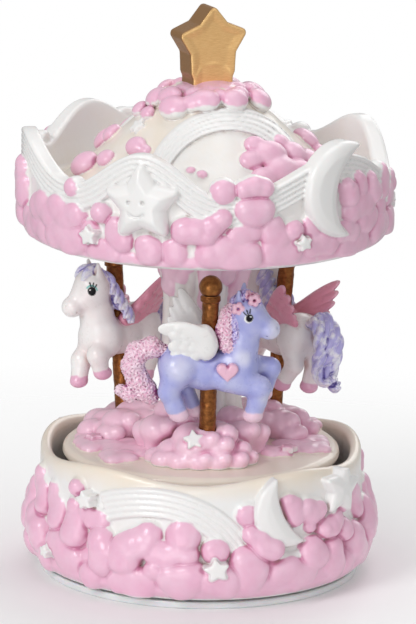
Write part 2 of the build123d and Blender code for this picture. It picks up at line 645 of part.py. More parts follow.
# ---------------------------------------------------------------- the assembly
def parts():
    """Every node's name with the shape, or the shapes, it holds."""
    screw_places = [polar(COVER_SCREW_RADIUS, a) for a in COVER_SCREW_ANGLES]
    nodes = {
        "base_casting": base_casting(),
        "base_cover": base_cover(),
        "cover_screws": screws_from_below(screw_places, 8),
        "thrust_washer": thrust_washer(),
        "wind_disc": wind_disc(),
        "winding_arbor": winding_arbor(),
        "disc_screw": disc_screw(),
        "movement_bedplate": movement_bedplate(),
        "movement_screws": screws_from_below(FEET, 6),
        "arbor_bush": arbor_bush(),
        "clutch_spring": clutch_spring(),
        "top_bridge": top_bridge(),
        "bridge_screws": bridge_screws(),
        "bridge_bush": bridge_bush(),
        "outer_bracket": outer_bracket(),
        "bracket_screw": bracket_screw(),
        "governor_bridge": governor_bridge(),
        "comb": comb(),
        "comb_screws": comb_screws(),
        "spring_barrel": spring_barrel(),
        "mainspring": mainspring(),
        "crown_gear": crown_gear(),
        "output_shaft": output_shaft(),
        "music_cylinder": music_cylinder(),
        "cylinder_shaft": cylinder_shaft(),
        "cylinder_pinion": cylinder_pinion(),
        "cylinder_wheel": cylinder_wheel(),
        "governor_shaft": governor_shaft(),
        "governor_pinion": governor_pinion(),
        "worm_wheel": worm_wheel(),
        "worm_spindle": worm_spindle(),
        "air_brake_fan": air_brake_fan(),
        "drive_hub": drive_hub(),
        "turntable_platform": turntable_platform(),
        "center_column": center_column(),
        "canopy": canopy(),
        "star_finial": star_finial(),
        "pole_balls": [pole_ball(name) for name in HORSE_ANGLES],
    }
    for name in HORSE_ANGLES:
        nodes[f"pole_{name}"] = pole(name)
        nodes[f"cloud_mound_{name}"] = cloud_mound(name)
        nodes[f"horse_{name}"] = horse(name)
    return nodes


def write(nodes):
    """One STEP file for each node, in parts/."""
    os.makedirs("parts", exist_ok=True)
    for name, shape in nodes.items():
        solids = []
        for piece in shape if isinstance(shape, list) else [shape]:
            solids += piece.solids()
        export_step(Compound(children=solids), f"parts/{name}.step")


write(parts())
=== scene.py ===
"""Looks for the carousel music box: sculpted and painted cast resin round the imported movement.

Lengths here are millimetres in the row frame (+Z up, -Y the front); meshes are scaled to metres when made.
Every sculpted piece is modelled as a block of signed distances (Clay), then meshed and painted by
vertex masks.
"""
import bpy
import math
import numpy as np
from mathutils import Matrix, Vector


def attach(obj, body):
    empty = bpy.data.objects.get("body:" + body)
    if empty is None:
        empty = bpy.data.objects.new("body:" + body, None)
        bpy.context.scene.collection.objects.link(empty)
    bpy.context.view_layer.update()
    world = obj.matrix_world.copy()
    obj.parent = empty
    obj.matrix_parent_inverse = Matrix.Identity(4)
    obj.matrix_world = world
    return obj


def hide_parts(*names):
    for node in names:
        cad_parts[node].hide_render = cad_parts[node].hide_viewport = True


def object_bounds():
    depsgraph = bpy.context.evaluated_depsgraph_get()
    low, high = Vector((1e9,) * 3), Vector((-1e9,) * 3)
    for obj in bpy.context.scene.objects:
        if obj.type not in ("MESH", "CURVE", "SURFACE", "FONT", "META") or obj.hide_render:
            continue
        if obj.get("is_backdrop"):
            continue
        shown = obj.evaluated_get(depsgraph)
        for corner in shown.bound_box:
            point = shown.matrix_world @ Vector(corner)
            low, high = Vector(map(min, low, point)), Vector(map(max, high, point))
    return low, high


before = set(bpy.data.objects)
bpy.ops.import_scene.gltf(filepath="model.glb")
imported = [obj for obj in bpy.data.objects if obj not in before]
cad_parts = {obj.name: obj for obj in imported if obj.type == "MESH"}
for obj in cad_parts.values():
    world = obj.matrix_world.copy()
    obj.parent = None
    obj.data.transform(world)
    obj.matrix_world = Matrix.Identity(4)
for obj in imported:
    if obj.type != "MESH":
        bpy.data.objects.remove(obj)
cad_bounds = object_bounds()

MM = 0.001
FAR = 40.0
FINE = 1.0

# Places shared with the CAD part
POLE_ANGLES = {"front": -86.0, "right": 34.0, "left": 154.0}
HORSE_YAW = {"front": 0.0, "right": 8.0, "left": -14.0}
PLATFORM_TOP = 37.0
POLE_FOOT = 25.0
POLE_LEAN = 4.8
POLE_LENGTH = 52.0
POLE_R = 2.45
HORSE_Z = 66.5


# ---------------------------------------------------------------- signed distances
def soft_min(a, b, k):
    """The lower of two distances, with a fillet of about k where they meet."""
    h = np.clip(k - np.abs(a - b), 0.0, None)
    return np.minimum(a, b) - h * h / (4.0 * k)


def soft_max(a, b, k):
    return -soft_min(-a, -b, k)


def smooth(x, low, high):
    """0 below low, 1 above high, smooth between."""
    t = np.clip((x - low) / (high - low), 0.0, 1.0)
    return t * t * (3.0 - 2.0 * t)


def outline_distance(points, u, v):
    """Signed distance to a closed polygon."""
    nearest, sign = None, 1.0
    for (au, av), (bu, bv) in zip(points, points[1:] + points[:1]):
        eu, ev = bu - au, bv - av
        wu, wv = u - au, v - av
        t = np.clip((wu * eu + wv * ev) / (eu * eu + ev * ev), 0.0, 1.0)
        square = (wu - eu * t) ** 2 + (wv - ev * t) ** 2
        nearest = square if nearest is None else np.minimum(nearest, square)
        above, below, left = v >= av, v < bv, eu * wv > ev * wu
        flips = (above & below & left) | (~above & ~below & ~left)
        sign = np.where(flips, -sign, sign)
    return sign * np.sqrt(nearest)


def polar(radius, bearing, z):
    """A point at a bearing round the turning axis: -90 degrees is the front."""
    a = math.radians(bearing)
    return (radius * math.cos(a), radius * math.sin(a), z)


def star_outline(outer, inner, rounding):
    """The signed distance, in its own plane, of a five-pointed star that points up."""
    radii = (outer - rounding, inner - rounding * 0.6)
    points = [polar(radii[i % 2], 90 + 36 * i, 0)[:2] for i in range(10)]
    return lambda u, v: outline_distance(points, u, v) - rounding


def ball(centre, radius):
    c = np.array(centre, float)

    def distance(x, y, z):
        return np.sqrt((x - c[0]) ** 2 + (y - c[1]) ** 2 + (z - c[2]) ** 2) - radius

    return c - radius, c + radius, distance


def rod(a, ra, b, rb):
    """A tapered rod with ball ends."""
    a, b = np.array(a, float), np.array(b, float)
    e = b - a
    length = float(e @ e) or 1e-9
    low = np.minimum(a - ra, b - rb)
    high = np.maximum(a + ra, b + rb)

    def distance(x, y, z):
        px, py, pz = x - a[0], y - a[1], z - a[2]
        t = np.clip((px * e[0] + py * e[1] + pz * e[2]) / length, 0.0, 1.0)
        away = np.sqrt((px - t * e[0]) ** 2 + (py - t * e[1]) ** 2 + (pz - t * e[2]) ** 2)
        return away - (ra + (rb - ra) * t)

    return low, high, distance


def local(shape_function, reach, place):
    """A distance function of local coordinates, put in the frame of a 4x4 matrix."""
    turn, origin = place[:3, :3], place[:3, 3]

    def distance(x, y, z):
        px, py, pz = x - origin[0], y - origin[1], z - origin[2]
        own = [px * turn[0, i] + py * turn[1, i] + pz * turn[2, i] for i in range(3)]
        return shape_function(*own)

    return origin - reach, origin + reach, distance


def blob(radii, place):
    """An ellipsoid with semi-axes radii in the frame of a 4x4 matrix."""
    rx, ry, rz = radii

    def ellipsoid(x, y, z):
        k0 = np.sqrt((x / rx) ** 2 + (y / ry) ** 2 + (z / rz) ** 2)
        k1 = np.sqrt((x / rx**2) ** 2 + (y / ry**2) ** 2 + (z / rz**2) ** 2)
        return k0 * (k0 - 1.0) / np.maximum(k1, 1e-6)

    return local(ellipsoid, np.sqrt(((place[:3, :3] * np.array(radii)) ** 2).sum(axis=1)), place)


def slab(low, high, distance, reach=80.0):
    """A distance function that is worked out for a range of heights, as far out as reach."""
    return np.array([-reach, -reach, low]), np.array([reach, reach, high]), distance


def below(level):
    """Everything under a height."""
    return slab(level - 40.0, level + 1.1, lambda x, y, z: z - level)


def drum(radius, low, high):
    """A solid drum about Z."""
    return slab(low, high, lambda x, y, z: np.maximum(np.hypot(x, y) - radius,
                                                           np.maximum(low - z, z - high)), radius)


def outside_tube(radius, low, high):
    """Everything beyond a radius about Z."""
    return slab(low, high, lambda x, y, z: radius - np.hypot(x, y))


def shift(x, y, z):
    m = np.eye(4)
    m[:3, 3] = (x, y, z)
    return m


def turn(axis, degrees):
    """A rotation about 'x', 'y' or 'z'."""
    return np.array(Matrix.Rotation(math.radians(degrees), 4, axis.upper()))


def facing(bearing, radius, z):
    """The frame on a drum at a bearing: X to the right as seen from outside, Y up, Z outwards."""
    a = math.radians(bearing)
    m = shift(*polar(radius, bearing, z))
    m[:3, 0] = (-math.sin(a), math.cos(a), 0)
    m[:3, 1] = (0, 0, 1)
    m[:3, 2] = (math.cos(a), math.sin(a), 0)
    return m


def unrolled(bearing, radius, x, y):
    """Distance round a drum from a bearing, and distance from the axis."""
    angle = np.arctan2(y, x) - math.radians(bearing)
    angle = (angle + math.pi) % (2 * math.pi) - math.pi
    return angle * radius, np.hypot(x, y)


class Clay:
    """A block of named layers of signed distance that shapes are added to and cut from."""

    def __init__(self, low, high, step):
        self.step = step * FINE
        self.low = np.array(low, float)
        counts = np.ceil((np.array(high, float) - self.low) / self.step).astype(int) + 1
        self.axes = [self.low[i] + self.step * np.arange(counts[i]) for i in range(3)]
        self.shape = tuple(int(n) for n in counts)
        self.layers = {}

    def layer(self, name):
        if name not in self.layers:
            self.layers[name] = np.full(self.shape, FAR, np.float32)
        return self.layers[name]

    def window(self, low, high, pad):
        """The slices of the block within a box, and their x, y and z."""
        cut = []
        for i in range(3):
            a = int((low[i] - pad - self.low[i]) / self.step)
            b = int((high[i] + pad - self.low[i]) / self.step) + 2
            a = min(max(a, 0), self.shape[i])
            cut.append(slice(a, min(max(b, a), self.shape[i])))
        x = self.axes[0][cut[0]][:, None, None]
        y = self.axes[1][cut[1]][None, :, None]
        z = self.axes[2][cut[2]][None, None, :]
        return tuple(cut), (x, y, z)

    def add(self, name, shape, blend=0.4, pad=3.0):
        low, high, distance = shape
        cut, grid = self.window(low, high, pad)
        field = self.layer(name)
        field[cut] = soft_min(field[cut], distance(*grid), blend)

    def carve(self, name, shape, blend=0.2):
        low, high, distance = shape
        cut, grid = self.window(low, high, 2.0)
        field = self.layer(name)
        field[cut] = soft_max(field[cut], -distance(*grid), blend)

    def revolve(self, name, points):
        """A layer turned from a closed (radius, height) outline about Z."""
        fine = 0.15
        reach = math.hypot(max(map(abs, self.axes[0])), max(map(abs, self.axes[1]))) + 1
        radii = np.arange(0, reach, fine)
        table = outline_distance(points, radii[:, None], self.axes[2][None, :])
        r = np.hypot(self.axes[0][:, None], self.axes[1][None, :]) / fine
        i = np.minimum(r.astype(int), len(radii) - 2)
        share = (r - i)[..., None]
        turned = table[i] * (1 - share) + table[i + 1] * share
        self.layers[name] = turned.astype(np.float32)

    def sample(self, field, points):
        """The field at any points, by trilinear blending."""
        g = (points - self.low) / self.step
        i = np.clip(np.floor(g).astype(int), 0, np.array(self.shape) - 2)
        f = np.clip(g - i, 0.0, 1.0)
        total = 0.0
        for corner in np.ndindex(2, 2, 2):
            wx, wy, wz = (f[:, k] if corner[k] else 1 - f[:, k] for k in range(3))
            total = total + wx * wy * wz * field[tuple((i + corner).T)]
        return total

    def slope(self, field, points):
        """The field's gradient at any points."""
        h = self.step * 0.6
        out = []
        for axis in range(3):
            step = np.zeros(3)
            step[axis] = h
            out.append((self.sample(field, points + step) - self.sample(field, points - step)) / (2 * h))
        return np.stack(out, axis=1)

    def surface(self, field):
        """Surface nets: one vertex in each cell the surface crosses, then drawn onto the surface itself."""
        inside = field < 0
        cells = tuple(n - 1 for n in field.shape)
        corners = list(np.ndindex(2, 2, 2))
        count = np.zeros(cells, np.int8)
        for a, b, c in corners:
            count += inside[a:a + cells[0], b:b + cells[1], c:c + cells[2]]
        where = np.argwhere((count > 0) & (count < 8))
        index = np.full(cells, -1, np.int32)
        index[tuple(where.T)] = np.arange(len(where))
        values = {c: field[where[:, 0] + c[0], where[:, 1] + c[1], where[:, 2] + c[2]] for c in corners}
        total, weight = np.zeros((len(where), 3)), np.zeros(len(where))
        for a in corners:
            for axis in range(3):
                if a[axis]:
                    continue
                b = tuple(1 if i == axis else a[i] for i in range(3))
                va, vb = values[a], values[b]
                crossed = (va < 0) != (vb < 0)
                t = np.where(crossed, va / np.where(crossed, va - vb, 1.0), 0.0)
                point = np.tile(np.array(a, float), (len(where), 1))
                point[:, axis] += t
                total += point * crossed[:, None]
                weight += crossed
        points = self.low + self.step * (where + total / weight[:, None])
        for _ in range(2):
            slope = self.slope(field, points)
            size = np.maximum((slope**2).sum(axis=1), 0.2)
            move = slope * (self.sample(field, points) / size)[:, None]
            points -= np.clip(move, -0.4 * self.step, 0.4 * self.step)
        faces = []
        for axis in range(3):
            b, c = (axis + 1) % 3, (axis + 2) % 3
            low = [slice(None)] * 3
            high = [slice(None)] * 3
            low[axis], high[axis] = slice(0, -1), slice(1, None)
            for other in (b, c):
                low[other] = high[other] = slice(1, -1)
            here, there = inside[tuple(low)], inside[tuple(high)]
            at = np.argwhere(here != there)
            outward = here[tuple(at.T)]
            at[:, b] += 1
            at[:, c] += 1
            quad = []
            for db, dc in ((1, 1), (0, 1), (0, 0), (1, 0)):
                cell = at.copy()
                cell[:, b] -= db
                cell[:, c] -= dc
                quad.append(index[tuple(cell.T)])
            quad = np.stack(quad, axis=1)
            quad[~outward] = quad[~outward][:, ::-1]
            faces.append(quad)
        return points, np.concatenate(faces)

    def mesh(self, order, blends, paint):
        """Merges the layers in order, and returns points, faces and masks: two of its own and paint()'s."""
        hollow_reach, sharp_reach = 1.1, 0.7
        field = self.layers[order[0]]
        for name, blend in zip(order[1:], blends):
            field = soft_min(field, self.layers[name], blend)
        points, faces = self.surface(field)
        normal = self.slope(field, points)
        normal /= np.maximum(np.linalg.norm(normal, axis=1), 1e-6)[:, None]
        near = {name: self.sample(self.layers[name], points) for name in order}
        hollow = np.clip(1.0 - self.sample(field, points + normal * hollow_reach) / hollow_reach, 0.0, 1.0)
        sharp = np.clip(1.0 + self.sample(field, points - normal * sharp_reach) / sharp_reach, 0.0, 1.0)
        masks = {"hollow": hollow, "sharp": sharp}
        masks.update(paint(points, normal, near))
        return points, faces, masks


def without_islands(points, faces, masks, least=400):
    """Drops the closed crumbs of fewer than `least` points that crossing ropes of hair leave in a mesh."""
    ends = np.concatenate([faces[:, [i, (i + 1) % 4]] for i in range(4)])
    label = np.arange(len(points))
    while True:
        lower = label.copy()
        np.minimum.at(lower, ends[:, 0], label[ends[:, 1]])
        lower = lower[lower]
        if (lower == label).all():
            break
        label = lower
    keep = np.bincount(label, minlength=len(points))[label] >= least
    index = np.cumsum(keep) - 1
    return points[keep], index[faces[keep[faces[:, 0]]]], {key: values[keep] for key, values in masks.items()}


def covers(near, under, name, low, high):
    """How far a layer stands over the ones under it, from 0 to 1, where it is near at all."""
    return smooth(under - near[name], low, high) * (near[name] < 2.0)


def ripple(points, size, seed):
    """Smooth repeatable noise, about -1 to 1, with features of a given size."""
    rng = np.random.default_rng(seed)
    total = np.zeros(len(points))
    for octave in range(6):
        direction = rng.normal(size=3)
        direction *= 2 * math.pi / size * rng.uniform(0.7, 1.5) / np.linalg.norm(direction)
        total += np.sin(points @ direction + rng.uniform(0, 2 * math.pi))
    return total / 3.0


# ---------------------------------------------------------------- Blender meshes
def publish(name, cast, body, material, slot, *replaces):
    """Makes a smooth piece from points in millimetres, faces and masks, hangs it on its body's empty and hides
    the CAD parts it replaces.
    """
    points, faces, masks = cast
    mesh = bpy.data.meshes.new(name)
    points = points * MM
    if isinstance(faces, np.ndarray):
        mesh.vertices.add(len(points))
        mesh.vertices.foreach_set("co", points.astype(np.float32).ravel())
        mesh.loops.add(faces.size)
        mesh.loops.foreach_set("vertex_index", faces.astype(np.int32).ravel())
        mesh.polygons.add(len(faces))
        mesh.polygons.foreach_set("loop_start", np.arange(0, faces.size, faces.shape[1], dtype=np.int32))
        mesh.update(calc_edges=True)
        mesh.validate()
    else:
        mesh.from_pydata([tuple(p) for p in points], [], faces)
    for key, values in masks.items():
        attribute = mesh.attributes.new(key, "FLOAT", "POINT")
        attribute.data.foreach_set("value", np.asarray(values, np.float32))
    mesh.polygons.foreach_set("use_smooth", np.ones(len(mesh.polygons), bool))
    piece = bpy.data.objects.new(name, mesh)
    bpy.context.scene.collection.objects.link(piece)
    mesh.materials.append(material)
    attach(piece, body)
    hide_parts(*replaces)


def moved(points, place):
    return np.asarray(points) @ place[:3, :3].T + place[:3, 3]


def lathe(profile, sides, bump):
    """A closed turned mesh from (radius, height) points; bump(angle, height) is added to the radius."""
    points, faces = [], []
    angles = 2 * np.pi * np.arange(sides) / sides
    for r, z in profile:
        radius = r + bump(angles, z)
        points.append(np.stack([radius * np.cos(angles), radius * np.sin(angles), np.full(sides, z)], axis=1))
    points = np.concatenate(points)
    for ring in range(len(profile) - 1):
        for s in range(sides):
            a, b = ring * sides + s, ring * sides + (s + 1) % sides
            faces.append((a, b, b + sides, a + sides))
    faces.append(tuple(range(sides - 1, -1, -1)))
    last = (len(profile) - 1) * sides
    faces.append(tuple(range(last, last + sides)))
    return points, faces


# ---------------------------------------------------------------- materials
def scaled(colour, by):
    return tuple(min(1.0, c * by) for c in colour)


class Shader:
    """A small helper that builds a node material. Its lengths are millimetres."""

    def __init__(self, name):
        self.material = bpy.data.materials.new(name)
        self.material.use_nodes = True
        self.tree = self.material.node_tree
        self.skin = self.tree.nodes["Principled BSDF"]
        place = self.tree.nodes.new("ShaderNodeTexCoord")
        self.place = place.outputs["Object"]

    def put(self, socket, value):
        """Links a socket to another, or gives it a plain value."""
        if isinstance(value, bpy.types.NodeSocket):
            self.tree.links.new(value, socket)
        elif isinstance(value, (tuple, list)) and len(value) == 3 and socket.type == "RGBA":
            socket.default_value = (*value, 1.0)
        else:
            socket.default_value = value

    def set(self, **inputs):
        """Sets the Principled inputs, with _ for a space in a name."""
        for name, value in inputs.items():
            self.put(self.skin.inputs[name.replace("_", " ")], value)

    def mask(self, name):
        """A value painted on the mesh's vertices."""
        node = self.tree.nodes.new("ShaderNodeAttribute")
        node.attribute_name = name
        return node.outputs["Fac"]

    def math(self, kind, a, b=0.0, c=0.0, clamp=False):
        node = self.tree.nodes.new("ShaderNodeMath")
        node.operation, node.use_clamp = kind, clamp
        for socket, value in zip(node.inputs, (a, b, c)):
            self.put(socket, value)
        return node.outputs[0]

    def mix(self, share, a, b, kind="MIX"):
        node = self.tree.nodes.new("ShaderNodeMix")
        node.data_type, node.blend_type = "RGBA", kind
        self.put(node.inputs[0], share)
        self.put(node.inputs[6], a)
        self.put(node.inputs[7], b)
        return node.outputs[2]

    def over(self, colour, tint, value, low, high, most=1.0):
        """The colour with a tint laid over it as a value goes from low to high."""
        return self.mix(self.fit(value, low, high, 0.0, most), colour, tint)

    def noise(self, per_mm, detail=3.0, roughness=0.55, stretch=(1, 1, 1), turned=(0, 0, 0)):
        mapping = self.tree.nodes.new("ShaderNodeMapping")
        mapping.inputs["Scale"].default_value = stretch
        mapping.inputs["Rotation"].default_value = [math.radians(a) for a in turned]
        self.put(mapping.inputs["Vector"], self.place)
        node = self.tree.nodes.new("ShaderNodeTexNoise")
        self.put(node.inputs["Vector"], mapping.outputs[0])
        node.inputs["Scale"].default_value = per_mm / MM
        node.inputs["Detail"].default_value = detail
        node.inputs["Roughness"].default_value = roughness
        return node.outputs["Fac"]

    def cells(self, per_mm):
        node = self.tree.nodes.new("ShaderNodeTexVoronoi")
        self.put(node.inputs["Vector"], self.place)
        node.inputs["Scale"].default_value = per_mm / MM
        return node.outputs["Distance"]

    def fit(self, value, low, high, to_low=0.0, to_high=1.0):
        """A value's range from low to high, mapped to another and clamped."""
        node = self.tree.nodes.new("ShaderNodeMapRange")
        for socket, number in zip(node.inputs, (value, low, high, to_low, to_high)):
            self.put(socket, number)
        return node.outputs[0]

    def height(self):
        node = self.tree.nodes.new("ShaderNodeSeparateXYZ")
        self.put(node.inputs[0], self.place)
        return node.outputs[2]

    def bump(self, value, millimetres):
        """Adds a bump of this depth to those already there."""
        node = self.tree.nodes.new("ShaderNodeBump")
        node.inputs["Strength"].default_value = 1.0
        node.inputs["Distance"].default_value = millimetres * MM
        self.put(node.inputs["Height"], value)
        previous = self.skin.inputs["Normal"].links
        if previous:
            self.put(node.inputs["Normal"], previous[0].from_socket)
        self.put(self.skin.inputs["Normal"], node.outputs[0])


WHITE = (0.86, 0.85, 0.84)
CREAM = (0.84, 0.76, 0.66)
TRIM_SHADE = (0.60, 0.58, 0.58)
PINK = (0.83, 0.46, 0.62)
# Pale pink: random paler patches, and painted highlight on ridges
PINK_PALE = (0.90, 0.68, 0.79)
# Deeper pink, used as painted shade in hollows
PINK_CREASE_SHADE = (0.64, 0.24, 0.40)
# Mound pinks: main, pale and deep; the pale one also serves as painted highlight on ridges, the deep one as
# painted shade in hollows
MOUND_PINKS = ((0.90, 0.56, 0.70), (0.93, 0.72, 0.81), (0.74, 0.32, 0.48))
# Painted shadow colour for the deepest creases
CREVICE_SHADOW = (0.36, 0.22, 0.18)
DECK_CREAM = (0.85, 0.75, 0.65)


def resin_finish(s, gloss=0.30):
    """The pearly lacquer that every painted casting shares."""
    s.set(Roughness=s.fit(s.noise(0.55), 0.35, 0.7, gloss, gloss + 0.14))
    s.set(Coat_Weight=0.45, Coat_Roughness=0.12, Subsurface_Weight=0.06, Subsurface_Scale=0.0012)
    s.set(Subsurface_Radius=(1.0, 0.55, 0.45))
    s.bump(s.noise(0.9, detail=4.0), 0.05)


def casting_material(name, low_colour, rim_from, rim_to, rim_colour, clouds=(PINK, PINK_PALE, PINK_CREASE_SHADE)):
    """Cream resin that warms towards a rim, white trim, pink clouds with bare edges; painted shade darkens the
    trim and deepens the pink in hollows, painted highlight pales the pink on ridges, and a painted brown shadow
    fills the deepest creases.
    """
    s = Shader(name)
    blotch = s.noise(0.12)
    rim = s.fit(s.math("ADD", s.height(), s.math("MULTIPLY", blotch, 0.004)), rim_from * MM, rim_to * MM)
    bare = s.mix(rim, low_colour, rim_colour)
    bare = s.over(bare, CREAM, blotch, 0.45, 0.75, 0.25)
    bare = s.mix(s.math("MULTIPLY", s.mask("cone"), s.fit(blotch, 0.3, 0.6, 0.55, 0.95)), bare, CREAM)
    # White trim, darkened in its hollows as painted shade
    bare = s.mix(s.mask("trim"), bare, s.over(WHITE, TRIM_SHADE, s.mask("hollow"), 0.25, 0.75, 0.35))
    full, pale, deep = clouds
    pink = s.over(full, pale, s.noise(0.16), 0.3, 0.75, 0.45)
    # Painted highlight: paler pink on ridges and edges
    pink = s.over(pink, pale, s.mask("sharp"), 0.1, 0.6, 0.5)
    # Painted shade: deeper pink in the hollows
    pink = s.over(pink, deep, s.mask("hollow"), 0.10, 0.52, 0.92)
    colour = s.mix(s.mask("pink"), bare, pink)
    # Painted shadow: the deepest creases, in patches, darkened towards brown
    crease_shadow = s.math("MULTIPLY", s.fit(s.mask("hollow"), 0.62, 0.95), s.fit(s.noise(0.25), 0.42, 0.62),
                  clamp=True)
    colour = s.mix(s.math("MULTIPLY", crease_shadow, 0.7), colour, CREVICE_SHADOW)
    s.set(Base_Color=colour)
    resin_finish(s)
    return s.material


# ---------------------------------------------------------------- base ring
BASE_R = 46.9
BASE_INNER = 43.4
BASE_LOW = 3.0
TRIM_R = 46.6  # the drum that the base's ribbons, moons and stars lie on

# Clouds on the front of the base, each along a path of (bearing, height, radius)
BASE_CLOUDS = [
    [(-95.5, 22.4, 5.5)], [(-116.0, 13.4, 5.0), (-112.5, 19.0, 4.6), (-107.5, 22.0, 4.2)],
    [(-104.5, 17.0, 4.4), (-94.0, 16.6, 3.6)], [(-125.5, 18.8, 4.2), (-124.2, 11.6, 4.6)],
    [(-139.5, 25.6, 3.4), (-138.2, 18.6, 5.0)], [(-133.0, 25.4, 3.6), (-126.5, 24.2, 3.4)],
    [(-137.5, 31.6, 3.0)],
    [(-153.0, 28.2, 3.2), (-149.0, 21.0, 4.5)], [(-165.0, 30.2, 3.4), (-160.5, 23.2, 4.4)],
    [(-167.0, 18.0, 4.6), (-160.5, 11.4, 5.0)], [(-148.0, 13.2, 4.8), (-138.0, 9.4, 5.4)],
    [(-129.0, 6.8, 4.6)],
    [(-118.0, 6.6, 4.6), (-108.5, 7.2, 5.0)], [(-105.0, 11.4, 3.4)], [(-99.0, 9.4, 5.2), (-93.0, 9.6, 5.8)],
    [(-84.4, 18.0, 4.3)], [(-86.0, 8.8, 4.8), (-80.5, 8.2, 5.2)], [(-73.8, 14.4, 5.2), (-73.0, 8.6, 5.4)],
    [(-73.0, 28.0, 4.2)], [(-72.0, 22.6, 3.0), (-65.0, 18.2, 3.9)], [(-62.0, 9.6, 4.6), (-51.0, 8.8, 4.8)],
    [(-58.0, 31.0, 2.8), (-55.0, 26.4, 3.8)], [(-50.5, 27.6, 3.8), (-44.5, 26.6, 3.4)],
    [(-48.6, 22.6, 2.3)],
    [(-42.5, 21.0, 3.1), (-36.5, 23.0, 3.5)], [(-48.5, 15.6, 4.6), (-46.0, 13.2, 4.4)],
    [(-38.5, 14.4, 4.2), (-37.0, 8.2, 5.2)], [(-31.0, 27.0, 4.0)], [(-21.5, 27.6, 3.9), (-17.5, 23.0, 4.2)],
    [(-32.0, 19.0, 3.8)], [(-24.5, 15.4, 4.8), (-20.5, 9.4, 5.2)], [(-29.0, 8.0, 4.8)],
    [(-12.5, 15.0, 5.0), (-8.0, 20.2, 4.4)], [(-11.5, 7.6, 4.9), (-4.0, 8.2, 5.0)], [(-155.0, 7.0, 4.8)],
    [(-171.5, 8.2, 5.0)], [(-2.5, 24.8, 3.6), (0.5, 16.4, 4.6)], [(-175.5, 24.0, 4.2), (-174.0, 14.8, 4.4)],
]


def base_drum(z):
    """The radius that the base's clouds stand on: they belly out between their top and their foot."""
    return 46.2 + 2.5 * smooth(26.0 - z, 0.0, 11.0) * (0.3 + 0.7 * smooth(z, 3.0, 13.0))


def lobes_along(path):
    """The round lobes of a cloud, at and between the points (bearing, height, radius) of its path."""
    lobes = [tuple(path[0])]
    degree = 0.88  # millimetres round the drum
    for (ba, za, ra), (bb, zb, rb) in zip(path, path[1:]):
        apart = math.hypot(degree * (bb - ba), zb - za)
        between = round(apart / 5.0)
        for k in range(1, between + 1):
            t = k / (between + 1)
            aside = 0.22 * ra * (1 if (int(7 * abs(ba)) + k) % 2 else -1) / apart
            lobes.append((ba + (bb - ba) * t + aside * (za - zb) / degree,
                          za + (zb - za) * t + aside * degree * (bb - ba), 1.1 * (ra + (rb - ra) * t)))
        lobes.append((bb, zb, rb))
    return lobes


def drum_cloud(path, drum, depth):
    """A puffed cloud along a path on a drum, standing out by about depth; drum gives the radius by height."""
    bearing, middle, width = np.mean(path, axis=0)
    size = float(drum(middle))
    spots = [(math.radians(b - bearing) * size, z, radius) for b, z, radius in lobes_along(path)]
    reach = 5.0 + max(math.hypot(u, z - middle) + radius for u, z, radius in spots)
    centre = np.array(polar(size, bearing, middle))

    def distance(x, y, h):
        u, r = unrolled(bearing, size, x, y)
        side = FAR
        for across, up, radius in spots:
            side = soft_min(side, np.hypot(u - across, h - up) - radius, 1.3)
        crown = depth * (1.0 - 0.42 * np.clip(1.0 + side / width, 0.0, 1.3) ** 2)
        lobe = soft_max(side, r - drum(h) - crown, 0.62 * width)
        return soft_max(lobe, size - 2.2 - r, 1.5)

    return centre - reach, centre + reach, distance


def cloud_bed(drum_r, swell, low, high, top_wave):
    """The cushion under the lobes, so that the clouds close up: its top edge wanders with the bearing."""

    def distance(x, y, z):
        bearing = np.arctan2(y, x)
        top = high + top_wave * (np.sin(5 * bearing + 1.0) + 0.6 * np.sin(11 * bearing))
        radius = drum_r + swell * smooth(top - z, -1.0, 4.0) * smooth(z, low - 1.0, low + 3.0)
        return np.maximum(np.hypot(x, y) - radius, z - top)

    return slab(low - 4, high + 3 * abs(top_wave) + 2, distance)


def relief(outline, top, edge, reach, bearing, drum_r, z, tilt=0.0, dome=0.0):
    """An ornament with an outline(u, v), wrapped on a drum: top is its height, or a function of u and v."""
    c, s = math.cos(math.radians(tilt)), math.sin(math.radians(tilt))
    centre = np.array(polar(drum_r, bearing, z))

    def distance(x, y, h):
        u, r = unrolled(bearing, drum_r, x, y)
        v = h - z
        u, v = u * c + v * s, v * c - u * s
        mask = outline(u, v)
        rise = top(u, v) if callable(top) else top + dome * np.clip(-mask, 0, 3.0) / 3.0
        return soft_max(soft_max(mask, (r - drum_r) - rise, edge), drum_r - 2.0 - r, 0.3)

    return centre - reach, centre + reach, distance


def small_star(outer, inner, rounding, proud, edge, bearing, drum_r, z, tilt):
    return relief(star_outline(outer, inner, rounding), proud, edge, 6, bearing, drum_r, z, tilt=tilt)


def ribbon_arc(centre, radius, width, start, end, ribs, low, high):
    """The outline of a ribbon along a circle's arc, and its ribbed height between low and high."""

    def outline(u, v):
        du, dv = u - centre[0], v - centre[1]
        rho = np.hypot(du, dv) - radius
        angle = np.degrees(np.arctan2(dv, du))
        ends = np.maximum(start - angle, angle - end) * radius * math.pi / 180
        return np.maximum(np.abs(rho) - width / 2, ends)

    def ridge(u, v):
        rho = np.hypot(u - centre[0], v - centre[1]) - radius
        return low + (high - low) * np.abs(np.sin(math.pi * ribs * (rho / width + 0.5)))

    return outline, ridge, 0.35


def crescent(big, big_r, small, small_r, rounding):
    """A moon between two circles."""

    def outline(u, v):
        outer = np.hypot(u - big[0], v - big[1]) - (big_r - rounding)
        inner = np.hypot(u - small[0], v - small[1]) - (small_r + rounding)
        return soft_max(outer, -inner, 0.6) - rounding

    return outline


def cloud_masks(near, bare, rise, needed):
    """How pink a drum's clouds are, and how much trim lies over the bare wall."""
    on_cloud = smooth(np.minimum(near[bare], near["trim"]) - near["cloud"], 0.1, 0.55)
    return on_cloud * smooth(rise - needed, -0.25, 0.3), smooth(near[bare] - near["trim"], -0.15, 0.25)


def ring_wave(bearing):
    """The rim's height by bearing."""
    return 37.6 + 1.3 * np.cos(5 * (bearing - math.radians(-55)))


